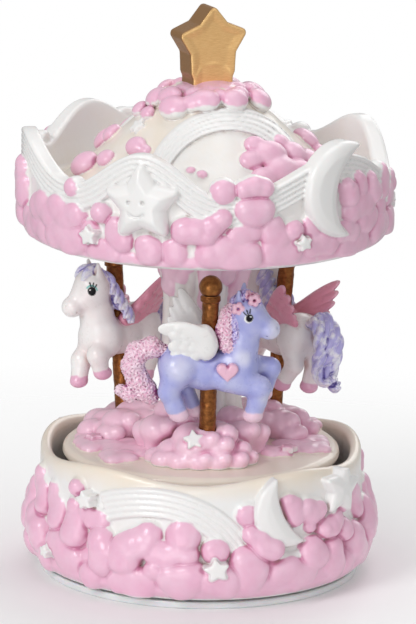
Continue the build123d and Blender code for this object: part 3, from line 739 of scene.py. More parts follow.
def make_base():
    """The base ring: wavy rim, clouds all round, ribbons, moons and stars on the front and the back."""
    clay = Clay((-56, -56, 2), (56, 56, 41), 0.40)
    clay.revolve("wall", [(BASE_INNER, BASE_LOW), (BASE_R - 0.6, BASE_LOW), (BASE_R, 9), (BASE_R, 30),
                          (BASE_R - 0.2, 44), (BASE_INNER + 0.1, 44)])

    above_rim = slab(30, 60, lambda x, y, z: ring_wave(np.arctan2(y, x)) - z)
    clay.carve("wall", above_rim, blend=2.4)
    clay.add("cloud", cloud_bed(46.8, 2.6, 3.0, 14.5, 1.8))
    for k, path in enumerate(BASE_CLOUDS):
        depth = 3.3 + 0.75 * math.sin(2.4 * k)
        for half_turn in (0, 180):
            there = [(bearing + half_turn, z, radius) for bearing, z, radius in path]
            clay.add("cloud", drum_cloud(there, base_drum, depth), blend=0.35)
    hollow = slab(0, 60, lambda x, y, z: np.hypot(x, y) - BASE_INNER, 50.0)
    clay.carve("cloud", hollow)
    clay.carve("cloud", below(2.9), blend=0.8)
    moon = crescent((2.5, -0.5), 10.8, (19.4, 7.4), 21.2, 0.6)
    big_star = star_outline(8.2, 4.4, 0.8)
    for back in (0, 180):
        trims = [
            relief(*ribbon_arc((0, 4), 27.0, 8.6, 20, 90.5, 5, 0.9, 1.5), 48, back - 105, TRIM_R, 0.0),
            relief(*ribbon_arc((0, -13), 44.0, 8.6, 89.5, 112, 5, 0.9, 1.5), 48, back - 105, TRIM_R, 0.0),
            relief(*ribbon_arc((4, 1), 15.5, 2.6, -140, -5, 1, 1.6, 2.6), 26, back - 61, TRIM_R, 29.0),
            relief(moon, 3.0, 1.0, 16, back - 61, TRIM_R, 29.0 - back / 120, dome=0.8),
            relief(big_star, 3.4, 1.2, 11, back - 33.5, TRIM_R, 31.2 - back / 75, tilt=-10, dome=0.8),
            small_star(2.9, 1.6, 0.35, 4.6, 0.6, back - 131, TRIM_R, 29.4, 14),
            small_star(2.1, 1.15, 0.3, 6.0, 0.5, back - 149.4, TRIM_R, 10.6, -8),
            small_star(3.4, 1.85, 0.4, 6.4, 0.6, back - 84.3, TRIM_R, 13.2, 10),
        ]
        for shape in trims:
            clay.add("trim", shape, blend=0.15)
    clay.carve("trim", hollow)
    clay.carve("trim", above_rim, blend=0.6)
    for bearing in (95, 215, 305):
        clay.add("bosses", rod(polar(40.3, bearing, 8), 3.4, polar(42.5, bearing, 12), 3.4))

    def paint(points, normal, near):
        wobble = 0.20 * ripple(points, 5.0, 3) + 0.10 * ripple(points, 1.6, 4)
        rise = np.hypot(points[:, 0], points[:, 1]) - BASE_R + wobble
        needed = 0.55 + 0.9 * smooth(normal[:, 2], 0.3, 0.8)
        pink, trim = cloud_masks(near, "wall", rise, needed)
        return {"pink": pink * smooth(points[:, 2], 3.0, 3.8), "trim": trim * smooth(rise, -1.4, -0.4)}

    cast = clay.mesh(["wall", "cloud", "trim", "bosses"], (0.9, 0.35, 0.3), paint)
    material = casting_material("painted resin, base", WHITE, 33.0, 39.5, (0.87, 0.77, 0.65))
    publish("base_shell", cast, "base", material, "cast_resin_base", "base_casting")


# ---------------------------------------------------------------- canopy
WALL_R = 51.6
ROOF_TOP = 144.6

# The ribbed band's upper edge: (bearing, height) at its crests and valleys
BAND_EDGE = [(-172, 131.5), (-137, 121.8), (-110, 133.2), (-83, 121.4), (-44, 131.4), (-2, 119.0),
             (28, 130.5),
             (56, 121.5), (82, 131.5), (108, 121.5), (134, 131.0), (160, 122.0), (188, 131.5)]
BAND_WIDTH = 7.4

# Clouds round the canopy's rim, each along a path of (bearing, height, radius)
RIM_CLOUDS = [
    [(-173.0, 120.4, 3.8), (-171.0, 112.4, 4.8)], [(-154.0, 112.0, 4.8), (-134.0, 113.0, 4.6)],
    [(-135.5, 120.6, 3.2)], [(-123.6, 115.2, 3.3)], [(-128.0, 109.6, 3.6)],
    [(-165.0, 106.8, 4.5), (-151.0, 105.8, 4.8)],
    [(-143.5, 105.6, 5.0), (-132.5, 106.2, 4.8)], [(-126.0, 104.0, 3.7), (-119.5, 103.6, 3.6)],
    [(-118.5, 112.0, 3.4), (-116.4, 107.8, 3.9)], [(-108.0, 107.2, 3.8), (-107.0, 104.6, 3.8)],
    [(-99.5, 106.6, 4.2), (-99.0, 104.8, 4.0)],
    [(-96.0, 112.2, 4.2), (-89.2, 110.8, 3.4), (-84.6, 116.0, 3.3)],
    [(-84.4, 123.4, 4.1)], [(-78.0, 124.0, 3.0), (-71.6, 124.2, 3.0)],
    [(-77.0, 118.4, 4.2), (-72.6, 118.2, 4.3)],
    [(-79.5, 110.4, 4.2), (-74.6, 112.0, 3.5)], [(-88.0, 105.6, 4.8), (-76.5, 105.0, 5.0)],
    [(-69.0, 113.4, 3.8), (-66.2, 109.6, 3.9)], [(-68.0, 106.0, 5.0), (-62.2, 105.6, 4.9)],
    [(-61.6, 111.4, 3.4)],
    [(-53.6, 113.4, 3.4), (-54.4, 110.6, 3.2)], [(-54.4, 106.8, 4.4), (-47.8, 106.6, 4.4)],
    [(-44.0, 108.6, 3.4), (-37.5, 108.4, 3.6)], [(-41.0, 103.8, 4.0), (-31.0, 104.4, 4.1)],
    [(-41.8, 122.6, 2.4), (-39.8, 118.6, 3.2)], [(-36.4, 124.0, 2.3), (-34.6, 120.4, 3.1)],
    [(-38.0, 114.4, 4.5), (-30.5, 115.6, 5.2)], [(-29.4, 122.6, 2.5), (-27.0, 118.0, 3.9)],
    [(-18.0, 122.4, 3.1), (-17.0, 117.4, 4.1)], [(-32.5, 110.4, 3.8), (-26.5, 111.0, 4.0)],
    [(-22.0, 106.0, 4.5), (-14.5, 106.8, 4.7)], [(-18.0, 112.4, 4.1)],
    [(-7.0, 106.0, 4.8), (0.0, 105.6, 4.9)],
    [(-9.5, 113.6, 3.9), (-2.0, 112.4, 4.3)], [(5.5, 106.4, 4.6), (11.5, 105.2, 4.7)], [(5.0, 114.4, 3.6)],
    [(-2.6, 117.8, 3.2)], [(10.5, 111.4, 4.2)], [(166.0, 106.0, 4.6), (173.5, 105.4, 4.9)],
    [(177.0, 111.6, 4.4)],
    [(180.0, 105.4, 4.6), (186.5, 106.4, 4.6)], [(170.5, 113.0, 4.0)],
    [(164.0, 112.0, 4.4), (165.0, 116.5, 3.4)],
    [(16.5, 107.0, 4.2), (19.0, 110.5, 3.2)],
]


def rim_clouds():
    """The rim's clouds, and copies of the front ones under the scallops at the back."""
    clouds = list(RIM_CLOUDS)
    for path in RIM_CLOUDS[:30]:
        bearing = path[0][0]
        if -70.0 < bearing < -47.0:  # where the back's own clouds are
            continue
        turned = 178 if bearing > -62 else 191 if bearing > -120 else 193
        clouds.append([(b + turned, z, radius) for b, z, radius in path])
    return clouds


# Clouds on the cone: (bearing, distance from the axis, radius)
ROOF_CLOUDS = [
    (-56, 24.5, 2.9), (-63, 28.0, 3.0), (-49, 27.5, 4.4), (-48, 32.0, 4.8), (-30, 28.5, 3.8),
    (-21, 31.0, 3.6),
    (-33, 25.0, 2.6), (-38, 33.5, 4.6), (-60, 33.0, 3.6), (-26, 36.0, 4.4), (-139, 26.0, 2.9),
    (-131, 26.4, 1.7),
    (-168, 35.0, 4.2), (-156, 31.0, 2.7), (-98, 30.0, 1.1), (-92, 31.0, 1.3), (20, 30, 4.2), (30, 33, 3.8),
    (12, 34, 3.6), (60, 26, 3.2), (66, 30, 4.2), (56, 32, 3.4), (95, 33, 4.0), (104, 30, 3.4),
    (140, 28, 3.4),
    (150, 32, 4.4), (132, 32, 3.6), (172, 27, 3.0),
]

# Clouds round the foot of the star: (bearing, distance from the axis, radius)
CROWN_CLOUDS = [
    (-178, 18.5, 2.6), (-166, 14.0, 3.4), (-156, 18.0, 2.2), (-142, 12.5, 3.4), (-126, 15.2, 3.8),
    (-108, 13.2, 2.8),
    (-92, 12.4, 3.6), (-72, 11.0, 2.4), (-54, 12.6, 3.5), (-36, 11.0, 2.6), (-12, 14.4, 3.8),
    (10, 12.0, 2.8),
    (32, 14.6, 3.8), (56, 11.6, 2.6), (80, 14.0, 3.7), (104, 12.0, 2.8), (130, 15.6, 3.8), (156, 12.2, 2.8),
]
ROOF_PROFILE = [(46.2, 113.2), (44.6, 113.2), (33.0, 121.7), (28.4, 125.9), (20.0, 134.0), (12.0, 140.6),
                (8.5, ROOF_TOP - 1.2), (0, ROOF_TOP - 0.6)]


def band_edge(bearing):
    """The band's upper edge by bearing in radians, and its slope in height for each radian."""
    degrees = np.degrees(bearing)
    degrees = np.where(degrees < BAND_EDGE[0][0], degrees + 360, degrees)
    height = np.zeros_like(degrees)
    slope = np.zeros_like(degrees)
    for (a, za), (b, zb) in zip(BAND_EDGE, BAND_EDGE[1:]):
        here = (degrees >= a) & (degrees <= b)
        t = np.clip((degrees - a) / (b - a), 0, 1)
        wave = 0.5 - 0.5 * np.cos(math.pi * t)
        height = np.where(here, za + (zb - za) * wave, height)
        steep = (zb - za) * 0.5 * math.pi * np.sin(math.pi * t) / math.radians(b - a)
        slope = np.where(here, steep, slope)
    return height, slope


def roof_height(r):
    radii = [p[0] for p in reversed(ROOF_PROFILE)]
    return float(np.interp(r, radii, [p[1] for p in reversed(ROOF_PROFILE)]))


def roof_cloud(bearing, r, radius, lift=0.25):
    """A cloud lobe lying on the cone."""
    tilt = math.degrees(math.atan2(roof_height(r - 1) - roof_height(r + 1), 2.0))
    place = shift(*polar(r, bearing, roof_height(r))) @ turn("z", bearing) @ turn("y", tilt)
    return blob((radius * 0.95, radius * 1.1, radius * 0.62), place @ shift(0, 0, radius * lift))


def ribbed_band():
    """The scalloped band's five ridges, along the rim's wavy upper edge."""

    def distance(x, y, z):
        bearing, r = np.arctan2(y, x), np.hypot(x, y)
        top, slope = band_edge(bearing)
        across = (top - z) / np.sqrt(1 + (slope / WALL_R) ** 2)
        ridge = 1.0 + 0.75 * np.abs(np.sin(math.pi * 5 * np.clip(across / BAND_WIDTH, 0, 1)))
        inside = soft_max(r - WALL_R - ridge, WALL_R - 2.4 - r, 0.4)
        return soft_max(inside, np.maximum(-across, across - BAND_WIDTH), 0.5)

    return slab(110, 135, distance, 54.0)


def roof_ribbon(clay, centre_x, centre_z, radius, front):
    """A ribbed arch laid over the front (or back) of the cone, sinking into it behind the top."""
    roof = clay.layers["roof"]
    cut, (x, y, z) = clay.window((-44, -48, 112), (44, 48, 144), 0)
    ahead = -y if front else y
    rho = np.hypot(x - centre_x, z - centre_z) - radius
    stand = smooth(ahead, 0.0, 6.0)
    half_width = 0.4 + 2.2 * smooth(ahead, 1.0, 11.0)
    ridge = (0.7 + 0.5 * np.abs(np.sin(math.pi * 5 * (rho / 5.2 + 0.5)))) * stand - 0.5 * (1 - stand)
    sides = np.maximum(np.maximum(np.abs(rho) - half_width, -ahead), np.hypot(x, y) - 46.0)
    field = clay.layer("trim")
    field[cut] = soft_min(field[cut], soft_max(sides, roof[cut] - ridge, 0.35), 0.2)


def loose_star(outer, inner, rounding, half_thick, edge, place):
    """A flat star in the frame of a 4x4 matrix."""
    flat = star_outline(outer, inner, rounding)
    return local(lambda u, v, w: soft_max(flat(u, v), np.abs(w) - half_thick, edge), 5, place)


def smiling_star(clay, bearing, z, tilt):
    """The big puffed star with two eyes and a smile."""
    drum_r = WALL_R + 0.6
    star = relief(star_outline(11.2, 6.3, 1.5), 2.6, 2.2, 14, bearing, drum_r, z, tilt=tilt, dome=1.9)
    clay.add("trim", star, 0.15)
    centre = facing(bearing, drum_r + 4.0, z)

    def at(x, y, depth):
        return (centre @ shift(x, y, depth))[:3, 3]

    for x, y in ((-3.1, 0.6), (1.1, 0.8)):
        clay.carve("trim", ball(at(x, y, 0.15), 0.6), blend=0.15)
    smile = [(-3.4, -2.3), (-2.4, -3.1), (-1.0, -3.5), (0.4, -3.2), (1.4, -2.5)]
    for start, end in zip(smile, smile[1:]):
        clay.carve("trim", rod(at(*start, 0.25), 0.36, at(*end, 0.25), 0.36), blend=0.2)


def make_canopy():
    """The roof: a hollow cone in a scalloped wall with a ribbed band, clouds, a smiling star and moons."""
    clay = Clay((-58, -58, 98), (58, 58, 147.5), 0.42)
    outer = [(0, 127), (14, 127), (40, 109.4), (46.6, 104.6), (48.0, 101.4), (49.2, 100.4), (50.4, 100.4),
             (51.0, 101.6), (WALL_R, 106), (WALL_R, 136), (48.9, 136), (48.0, 120), (47.2, 114.4)]
    clay.revolve("roof", outer + ROOF_PROFILE)

    def above_band(x, y, z):
        top, _ = band_edge(np.arctan2(y, x))
        return np.maximum(top - 0.15 - z, 47.4 - np.hypot(x, y))

    clay.carve("roof", slab(112, 150, above_band), blend=1.2)
    clay.add("trim", ribbed_band(), 0.2)
    arch_x, arch_z = 5.9, 115.2
    roof_ribbon(clay, arch_x, arch_z, 21.6, front=True)
    roof_ribbon(clay, -7.0, 114.0, 21.0, front=False)
    moon = crescent((3.3, 1.2), 13.6, (15.0, -1.0), 15.1, 0.9)
    back_moon = crescent((2.6, 1.0), 11.0, (12.2, -0.8), 12.3, 0.9)
    plates = [
        relief(moon, 3.6, 1.8, 20, -47, WALL_R, 120.5, dome=1.0),
        small_star(2.9, 1.6, 0.35, 4.0, 0.6, -126.8, WALL_R, 108.3, 10),
        small_star(2.4, 1.3, 0.3, 4.2, 0.6, -59.1, WALL_R, 108.0, 12),
        relief(star_outline(7.6, 4.3, 1.0), 3.2, 1.6, 12, 64, WALL_R, 116.0, tilt=8, dome=1.2),
        relief(back_moon, 3.6, 1.8, 20, 131, WALL_R, 116.6, dome=1.0),
        small_star(2.8, 1.5, 0.35, 4.2, 0.6, 98, WALL_R, 108.5, -10),
        small_star(2.6, 1.4, 0.3, 4.0, 0.6, 8, WALL_R, 109.0, 14),
    ]
    for shape in plates:
        clay.add("trim", shape, blend=0.15)
    smiling_star(clay, -109.2, 119.4, 3.0)
    clay.add("cloud", cloud_bed(WALL_R - 0.6, 1.6, 99.0, 107.5, 1.4))
    for k, path in enumerate(rim_clouds()):
        depth = 2.9 + 0.6 * math.sin(2.4 * k) + 1.1 * float(smooth(np.mean(path, axis=0)[1], 110.0, 116.0))
        clay.add("cloud", drum_cloud(path, lambda z: WALL_R - 0.3, depth), blend=0.35)
    for bearing, r, radius in ROOF_CLOUDS:
        clay.add("cloud", roof_cloud(bearing, r, radius * 1.1), blend=0.9)
    for bearing, r, radius in CROWN_CLOUDS:
        clay.add("cloud", roof_cloud(bearing, r, radius * 1.1, lift=0.4), blend=0.5)
        low = polar(r * 0.55, bearing + 14, 141.6 - 0.1 * r)
        clay.add("cloud", ball(low, radius * 1.15), blend=0.5)
    clay.add("cloud", blob((9.5, 9.5, 3.6), shift(0, 0, 141.8)), blend=0.8)
    roof_star = shift(*polar(21.5, -154, roof_height(21.5))) @ turn("z", -154) @ turn("y", 43) @ turn("z", 90)
    for place in (roof_star, turn("z", 205) @ roof_star):
        clay.add("trim", loose_star(2.9, 1.6, 0.3, 1.3, 0.5, place), blend=0.15)
    clay.carve("cloud", below(100.9), blend=1.6)
    inside = slab(100, 112.6, lambda x, y, z: np.maximum(np.hypot(x, y) - 48.0, z - 112.8), 50.0)
    clay.carve("cloud", inside, blend=0.5)

    def paint(points, normal, near):
        wobble = 0.20 * ripple(points, 5.0, 5) + 0.10 * ripple(points, 1.7, 6)
        r, z = np.hypot(points[:, 0], points[:, 1]), points[:, 2]
        on_cone = smooth(z, 114, 118) * smooth(47.0 - r, 0, 1)
        top, slope = band_edge(np.arctan2(points[:, 1], points[:, 0]))
        under = (top - z) / np.sqrt(1 + (slope / WALL_R) ** 2)
        by_band = smooth(under, -1.5, -0.5) * smooth(BAND_WIDTH + 1.2 - under, 0.0, 0.8)
        needed = 0.6 + 1.3 * by_band + 0.7 * smooth(normal[:, 2], 0.3, 0.8) * (1 - by_band)
        rim, trim = cloud_masks(near, "roof", r - WALL_R + wobble, needed)
        over = np.minimum(near["roof"], near["trim"] + 0.25) - near["cloud"]
        tops = smooth(normal[:, 2] + 0.8 * wobble, -0.15, 0.15) + smooth(136.0 - z, 0.0, 3.0)
        cone_pink = smooth(over + wobble, 0.2, 0.6) * np.minimum(tops, 1.0)
        pink = np.where(on_cone > 0.5, cone_pink, rim) * smooth(z, 100.2, 100.9)
        cone = smooth(47.5 - r, 0, 1.5) * smooth(normal[:, 2], 0.1, 0.3)
        arch = np.hypot(points[:, 0] - arch_x, z - arch_z)
        panel = smooth(21.0 - arch, 0.0, 3.0) * smooth(-points[:, 1], 0, 6)
        return {"pink": pink, "trim": trim, "cone": cone * (1 - 0.8 * panel)}

    cast = clay.mesh(["roof", "cloud", "trim"], (0.8, 0.35), paint)
    material = casting_material("painted resin, canopy", WHITE, 30.0, 38.5, WHITE)
    publish("canopy_shell", cast, "turntable", material, "cast_resin_canopy", "canopy")


# ---------------------------------------------------------------- platform, column and cloud mounds
DECK_R = 40.5
SHAFT_BORE = 2.55
CLEARANCE = 0.06  # between a pole and what it passes through
COLUMN_PEARL = (0.86, 0.83, 0.80)
DECK_PROFILE = [(0, 33.0), (38.2, 33.0), (39.8, 33.4), (DECK_R, 34.6), (40.2, 36.0), (39.0, 36.9), (30, 37.5),
                (16, 38.0), (0, 38.0)]

# Thin painted cloud patches on the deck: (x, y, radius)
DECK_PATCHES = [
    (-30, -7, 6.5), (-23, -13, 6.0), (-32, -1, 4.5), (-19, -8, 5.0), (-24, -21, 5.0), (-28, 4, 4.0),
    (-16, -16, 4.5),
    (27, -7, 6.0), (21, -13, 4.6), (32, 0, 4.5), (33, -7, 4.0), (-4, 27, 6.0), (7, 30, 5.0), (-14, 30, 4.5),
    (2, 21, 5.0), (16, 26, 4.6), (31, 20, 4.0),
]

# The front mound's lobes: (x, y, height of centre, radius)
FRONT_MOUND = [
    (-2.5, -23.0, 44.0, 5.6), (4.5, -22.5, 44.4, 5.7), (9.5, -23.0, 40.2, 4.8), (-8.0, -23.5, 40.2, 4.6),
    (-10.8, -27.0, 38.6, 3.4), (-6.0, -29.0, 38.8, 3.7), (-0.5, -29.6, 39.2, 3.8), (4.8, -29.0, 39.2, 3.9),
    (10.0, -27.4, 38.9, 3.7), (13.2, -24.0, 38.8, 3.2), (-13.0, -23.0, 38.6, 3.2), (0.0, -16.0, 41.5, 5.0),
    (-2.8, -27.6, 42.6, 4.3), (5.0, -27.2, 43.0, 4.3), (1.2, -27.4, 44.6, 4.1),
    (-12.5, -14.5, 44.4, 5.2), (-9.0, -11.0, 49.0, 4.6), (-15.5, -11.0, 43.0, 4.4),
    (-6.0, -13.0, 46.4, 4.4),
    (12.0, -14.5, 43.8, 4.8), (8.6, -10.5, 47.0, 4.3), (15.5, -12.5, 43.0, 4.2), (6.5, -14.5, 43.0, 4.2),
]


def pole_foot(name):
    return shift(0, 0, PLATFORM_TOP) @ turn("z", POLE_ANGLES[name]) @ shift(POLE_FOOT, 0, 0)


def pole_place(name):
    """The frame of a pole: origin at its foot on the platform, Z up the leaning pole."""
    return pole_foot(name) @ turn("y", POLE_LEAN)


def make_deck():
    """The turning platform, with thin cloud patches and two little stars."""
    clay = Clay((-43, -43, 32), (43, 43, 41), 0.36)
    clay.revolve("deck", DECK_PROFILE)
    lobes = [(0, 0, 1.0), (0.7, 0.5, 0.6), (-0.6, 0.6, 0.65), (-0.3, -0.8, 0.55), (0.8, -0.4, 0.6)]
    for x, y, radius in DECK_PATCHES:
        for dx, dy, share in lobes:
            place = shift(x + dx * radius * 0.8, y + dy * radius * 0.8, 37.4)
            clay.add("cloud", blob((radius * share, radius * share, 1.5 + 0.5 * share), place), blend=0.6)
    for x, y, bearing in ((-31.0, -6.0, 20), (25.5, -14.5, -12)):
        star = loose_star(2.6, 1.4, 0.3, 1.0, 0.5, shift(x, y, 39.4) @ turn("z", bearing))
        clay.add("trim", star, blend=0.15)
    clay.carve("cloud", outside_tube(DECK_R + 0.1, 30, 50), blend=0.8)
    clay.carve("deck", drum(SHAFT_BORE, 20, 60))

    def paint(points, normal, near):
        wobble = 0.14 * ripple(points, 4.0, 7) + 0.08 * ripple(points, 1.4, 8)
        pink = smooth(near["deck"] - near["cloud"] + wobble, 0.05, 0.35) * smooth(normal[:, 2], -0.2, 0.2)
        return {"pink": pink, "trim": smooth(near["deck"] - near["trim"], 0.1, 0.4)}

    cast = clay.mesh(["deck", "cloud", "trim"], (0.4, 0.2), paint)
    material = casting_material("painted resin, deck", DECK_CREAM, 20.0, 36.0, DECK_CREAM, MOUND_PINKS)
    publish("deck_shell", cast, "turntable", material, "platform_cream", "turntable_platform")


def pole_bore(place):
    """The hole for a pole along Z in the frame of a 4x4 matrix."""
    return local(lambda u, v, w: np.hypot(u, v) - POLE_R - CLEARANCE, 60, place)


def mound_lobes(name):
    """The lobes of a cloud heap: placed one by one in front, from one pattern for the two behind."""
    if name == "front":
        return FRONT_MOUND
    rng = np.random.default_rng({"right": 5, "left": 9}[name])
    place = pole_foot(name)
    lobes = [(-4.0, 0.0, 5.4, 6.0), (-3.5, 8.5, 4.2, 5.4), (-3.0, -8.5, 4.4, 5.6), (3.5, 4.5, 2.8, 5.2),
             (3.5, -4.5, 3.0, 5.4), (-9.0, 4.5, 4.6, 4.8), (-9.0, -4.5, 4.6, 4.8), (7.5, 0.0, 1.8, 4.4),
             (4.5, 10.5, 1.8, 4.2), (4.5, -10.5, 1.8, 4.2), (-2.0, 13.5, 2.2, 4.2), (-2.0, -13.5, 2.2, 4.2)]
    out = []
    for x, y, z, radius in lobes:
        p = place @ np.array([x + rng.uniform(-0.8, 0.8), y + rng.uniform(-0.8, 0.8), z, 1.0])
        out.append((p[0], p[1], p[2], radius * rng.uniform(0.92, 1.06)))
    return out


def make_mound(name):
    """The cloud heap that a pole stands in."""
    lobes = mound_lobes(name)
    centre = np.mean([lobe[:3] for lobe in lobes], axis=0)
    clay = Clay(centre - (24, 24, 6), centre + (24, 24, 14), 0.32)
    for x, y, z, radius in lobes:
        clay.add("cloud", blob((radius * 1.05, radius * 1.05, radius * 0.86), shift(x, y, z)), blend=1.0)
        clay.add("cloud", rod((x, y, 36.0), radius * 0.7, (x, y, z - 1.0), radius * 0.8), blend=1.0)
        clay.add("cloud", ball((x + 0.55 * radius, y - 0.5 * radius, z + 0.3 * radius), radius * 0.55),
                 blend=0.7)
    clay.layer("trim")
    if name == "front":
        place = shift(-2.1, -30.4, 45.6) @ turn("x", 56) @ turn("z", 8)
        clay.add("trim", loose_star(3.1, 1.65, 0.35, 1.2, 0.6, place), blend=0.15)
    for layer in ("cloud", "trim"):
        clay.carve(layer, below(37.3), blend=0.5)
        clay.carve(layer, outside_tube(39.8, 20, 80), blend=0.6)
    clay.carve("cloud", drum(11.2, 20, 80), blend=0.5)
    clay.carve("cloud", pole_bore(pole_place(name)))

    def paint(points, normal, near):
        wobble = 0.2 * ripple(points, 5.0, 3)
        floor_line = smooth(points[:, 2] + wobble, 37.6, 38.2)
        return {"pink": floor_line * smooth(near["trim"] - near["cloud"], -0.35, -0.1),
                "trim": smooth(near["cloud"] - near["trim"], 0.1, 0.35)}

    cast = clay.mesh(["cloud", "trim"], (0.2,), paint)
    material = casting_material("painted resin, mound " + name, WHITE, 10.0, 36.0, WHITE, MOUND_PINKS)
    publish("mound_" + name, cast, "turntable", material, "cloud_pink", "cloud_mound_" + name)


def pleats(angle, z):
    """How far the column's draped pleats stand out, by angle and height."""
    sway = 0.35 * np.sin(z / 9.0)
    return np.abs(np.sin(3.5 * angle + sway)) ** 0.7 + 0.5 * np.abs(np.sin(8.0 * angle - 1.5 * sway + 0.4))


def make_column():
    """The centre column: draped white shank, pink skirt below, clouds melting down from the canopy."""
    clay = Clay((-20, -20, 36), (20, 20, 122), 0.40)

    def shank(x, y, z):
        angle, r = np.arctan2(y, x), np.hypot(x, y)
        foot = 3.6 * smooth(52.0 - z, 0.0, 15.0)
        head = 1.2 * smooth(z, 80.0, 96.0)
        radius = 9.8 + foot + head + (1.5 - 1.2 * smooth(z, 88, 98)) * pleats(angle, z) * smooth(z, 38, 46)
        return np.maximum((r - radius) * 0.8, np.maximum(37.0 - z, z - 121.0))

    clay.add("shank", slab(37, 121, shank, 19.0), blend=0.1)
    rng = np.random.default_rng(31)
    for k in range(12):
        bearing = 30 * k + rng.uniform(-5, 5)
        clay.add("cloud", ball(polar(11.6, bearing, 96.0 + rng.uniform(-1.5, 1.5)), rng.uniform(3.8, 4.8)), 0.8)
        drip = rng.uniform(7.5, 17.5) if k % 2 else rng.uniform(3.5, 6.0)
        wide = rng.uniform(2.0, 2.9)
        foot = polar(10.6, bearing + rng.uniform(-7, 7), 94.0 - drip)
        clay.add("cloud", rod(polar(11.0, bearing + 8, 93.5), wide + 1.3, foot, wide), 0.9)
        clay.add("cloud", ball(foot, wide + 0.7), 0.8)
    for k in range(13):
        bearing = 360 / 13 * k + rng.uniform(-6, 6)
        radius = rng.uniform(3.2, 4.6)
        centre = polar(12.6 + rng.uniform(-0.8, 1.2), bearing, 38.6 + rng.uniform(0, 1.4))
        clay.add("cloud", ball(centre, radius), 1.0)
        if k % 2:
            clay.add("cloud", ball(polar(11.0, bearing + 9, 42.6 + rng.uniform(-1, 2)), radius * 0.8), 1.0)
    clay.carve("cloud", outside_tube(18.4, 20, 130), blend=0.6)
    for layer in ("cloud", "shank"):
        clay.carve(layer, below(37.0), blend=0.2)
        clay.carve(layer, drum(SHAFT_BORE, 20, 42.2))

    def paint(points, normal, near):
        wobble = 0.2 * ripple(points, 4.0, 12)
        z = points[:, 2]
        pink = smooth(near["shank"] - near["cloud"] + wobble, -0.1, 0.3)
        blush = 0.5 * smooth(46.0 - z, 0.0, 8.0)
        return {"pink": np.maximum(pink, blush * smooth(ripple(points, 7.0, 13), -0.8, 0.6)),
                "trim": 0.35 * smooth(ripple(points, 9.0, 14), 0.0, 1.0)}

    cast = clay.mesh(["shank", "cloud"], (1.0,), paint)
    material = casting_material("painted resin, column", COLUMN_PEARL, 0.0, 10.0, COLUMN_PEARL, MOUND_PINKS)
    publish("column_shell", cast, "turntable", material, "column_pearl", "center_column")


# ---------------------------------------------------------------- poles and star
GROOVE_BROWN = (0.24, 0.115, 0.045)
BALL_R = 3.35


def gilt_material(name, face, edge, stretch, groove=False, metal=(0.8, 0.95)):
    """Hand-rubbed gilding: bright metal paint with brushed streaks over a dark brown ground, darkened in
    hollows as painted shade and brightened on ridges as painted highlight.
    """
    s = Shader(name)
    streak = s.noise(0.55, detail=6.0, roughness=0.7, stretch=stretch)
    wear = s.fit(streak, 0.38, 0.66)
    colour = s.mix(wear, edge, face)
    # Painted shade: darker in hollows; painted highlight: brighter on ridges and edges
    colour = s.over(colour, scaled(edge, 0.35), s.mask("hollow"), 0.15, 0.6)
    colour = s.over(colour, scaled(face, 1.25), s.mask("sharp"), 0.25, 0.8, 0.6)
    if groove:
        colour = s.over(colour, GROOVE_BROWN, s.mask("side"), 0.3, 0.8, 0.85)
    s.set(Base_Color=colour, Metallic=s.fit(streak, 0.3, 0.7, *metal))
    s.set(Roughness=s.fit(streak, 0.3, 0.7, 0.46, 0.27))
    s.bump(streak, 0.03)
    s.bump(s.noise(1.6), 0.03)
    return s.material


def make_star():
    """The gilt star on the roof: soft edges, dished faces, its two legs joined into a foot."""
    facing_turn = turn("z", 27.0)
    clay = Clay((-14, -14, 140), (14, 14, 169), 0.28)
    outline = star_outline(10.9, 7.1, 1.5)

    def star(x, y, z):
        flat = outline(x, z - 155.6)
        foot = np.maximum(np.abs(x) - 6.6 + 0.06 * (z - 142), np.maximum(z - 152, 141.0 - z))
        rim = soft_min(flat, foot, 1.4)
        dish = 0.55 * smooth(-rim, 0.6, 3.2)
        return soft_max(rim, np.abs(y) - 4.0 + dish, 0.8)

    clay.add("star", slab(141, 168, local(star, 40, facing_turn)[2], 13.0), blend=0.1)
    clay.carve("star", below(144.0), blend=0.2)

    def paint(points, normal, near):
        across = np.abs(normal @ facing_turn[:3, 1])
        return {"side": smooth(0.75 - across, 0.0, 0.3)}

    cast = clay.mesh(["star"], (), paint)
    material = gilt_material("brushed gilding", (1.0, 0.66, 0.30), (0.80, 0.47, 0.18), (1, 1, 14), True,
                             (0.45, 0.7))
    publish("star_gilt", cast, "turntable", material, "star_gold", "star_finial")


def make_pole(name):
    """A pole with shallow spiral flutes and a collar."""
    place = pole_place(name)
    sides, rings, pitch = 56, 240, 0.85

    def flutes(angle, z):
        twist = np.sin(2 * angle - z * pitch)
        fine = 0.03 * np.sin(9 * angle + z * 2.3) + 0.02 * np.sin(23 * angle - z * 1.1)
        return -0.10 * np.clip(twist - 0.45, 0, 1) / 0.55 + fine

    profile = []
    for z in np.linspace(0.0, POLE_LENGTH - 0.2, rings):
        collar = 0.5 * float(smooth(0.9 - abs(z - (POLE_LENGTH - 1.6)), 0.0, 0.35))
        profile.append((POLE_R - 0.05 + collar, z))
    points, faces = lathe(profile, sides, flutes)
    twist = np.sin(2 * np.arctan2(points[:, 1], points[:, 0]) - points[:, 2] * pitch)
    deep = smooth(twist, 0.4, 0.75)
    # Painted shade in the flutes and painted highlight on the ridges between them, through the hollow and sharp
    # masks
    masks = {"hollow": 0.22 * deep, "sharp": 0.35 * smooth(twist, 0.1, 0.4) - deep}
    material = gilt_material("rubbed copper, pole " + name, (0.40, 0.155, 0.045), (0.20, 0.07, 0.02),
                             (1, 1, 1.6))
    cast = (moved(points, place), faces, masks)
    publish("pole_" + name + "_fluted", cast, "turntable", material, "pole_copper", "pole_" + name)
    return place


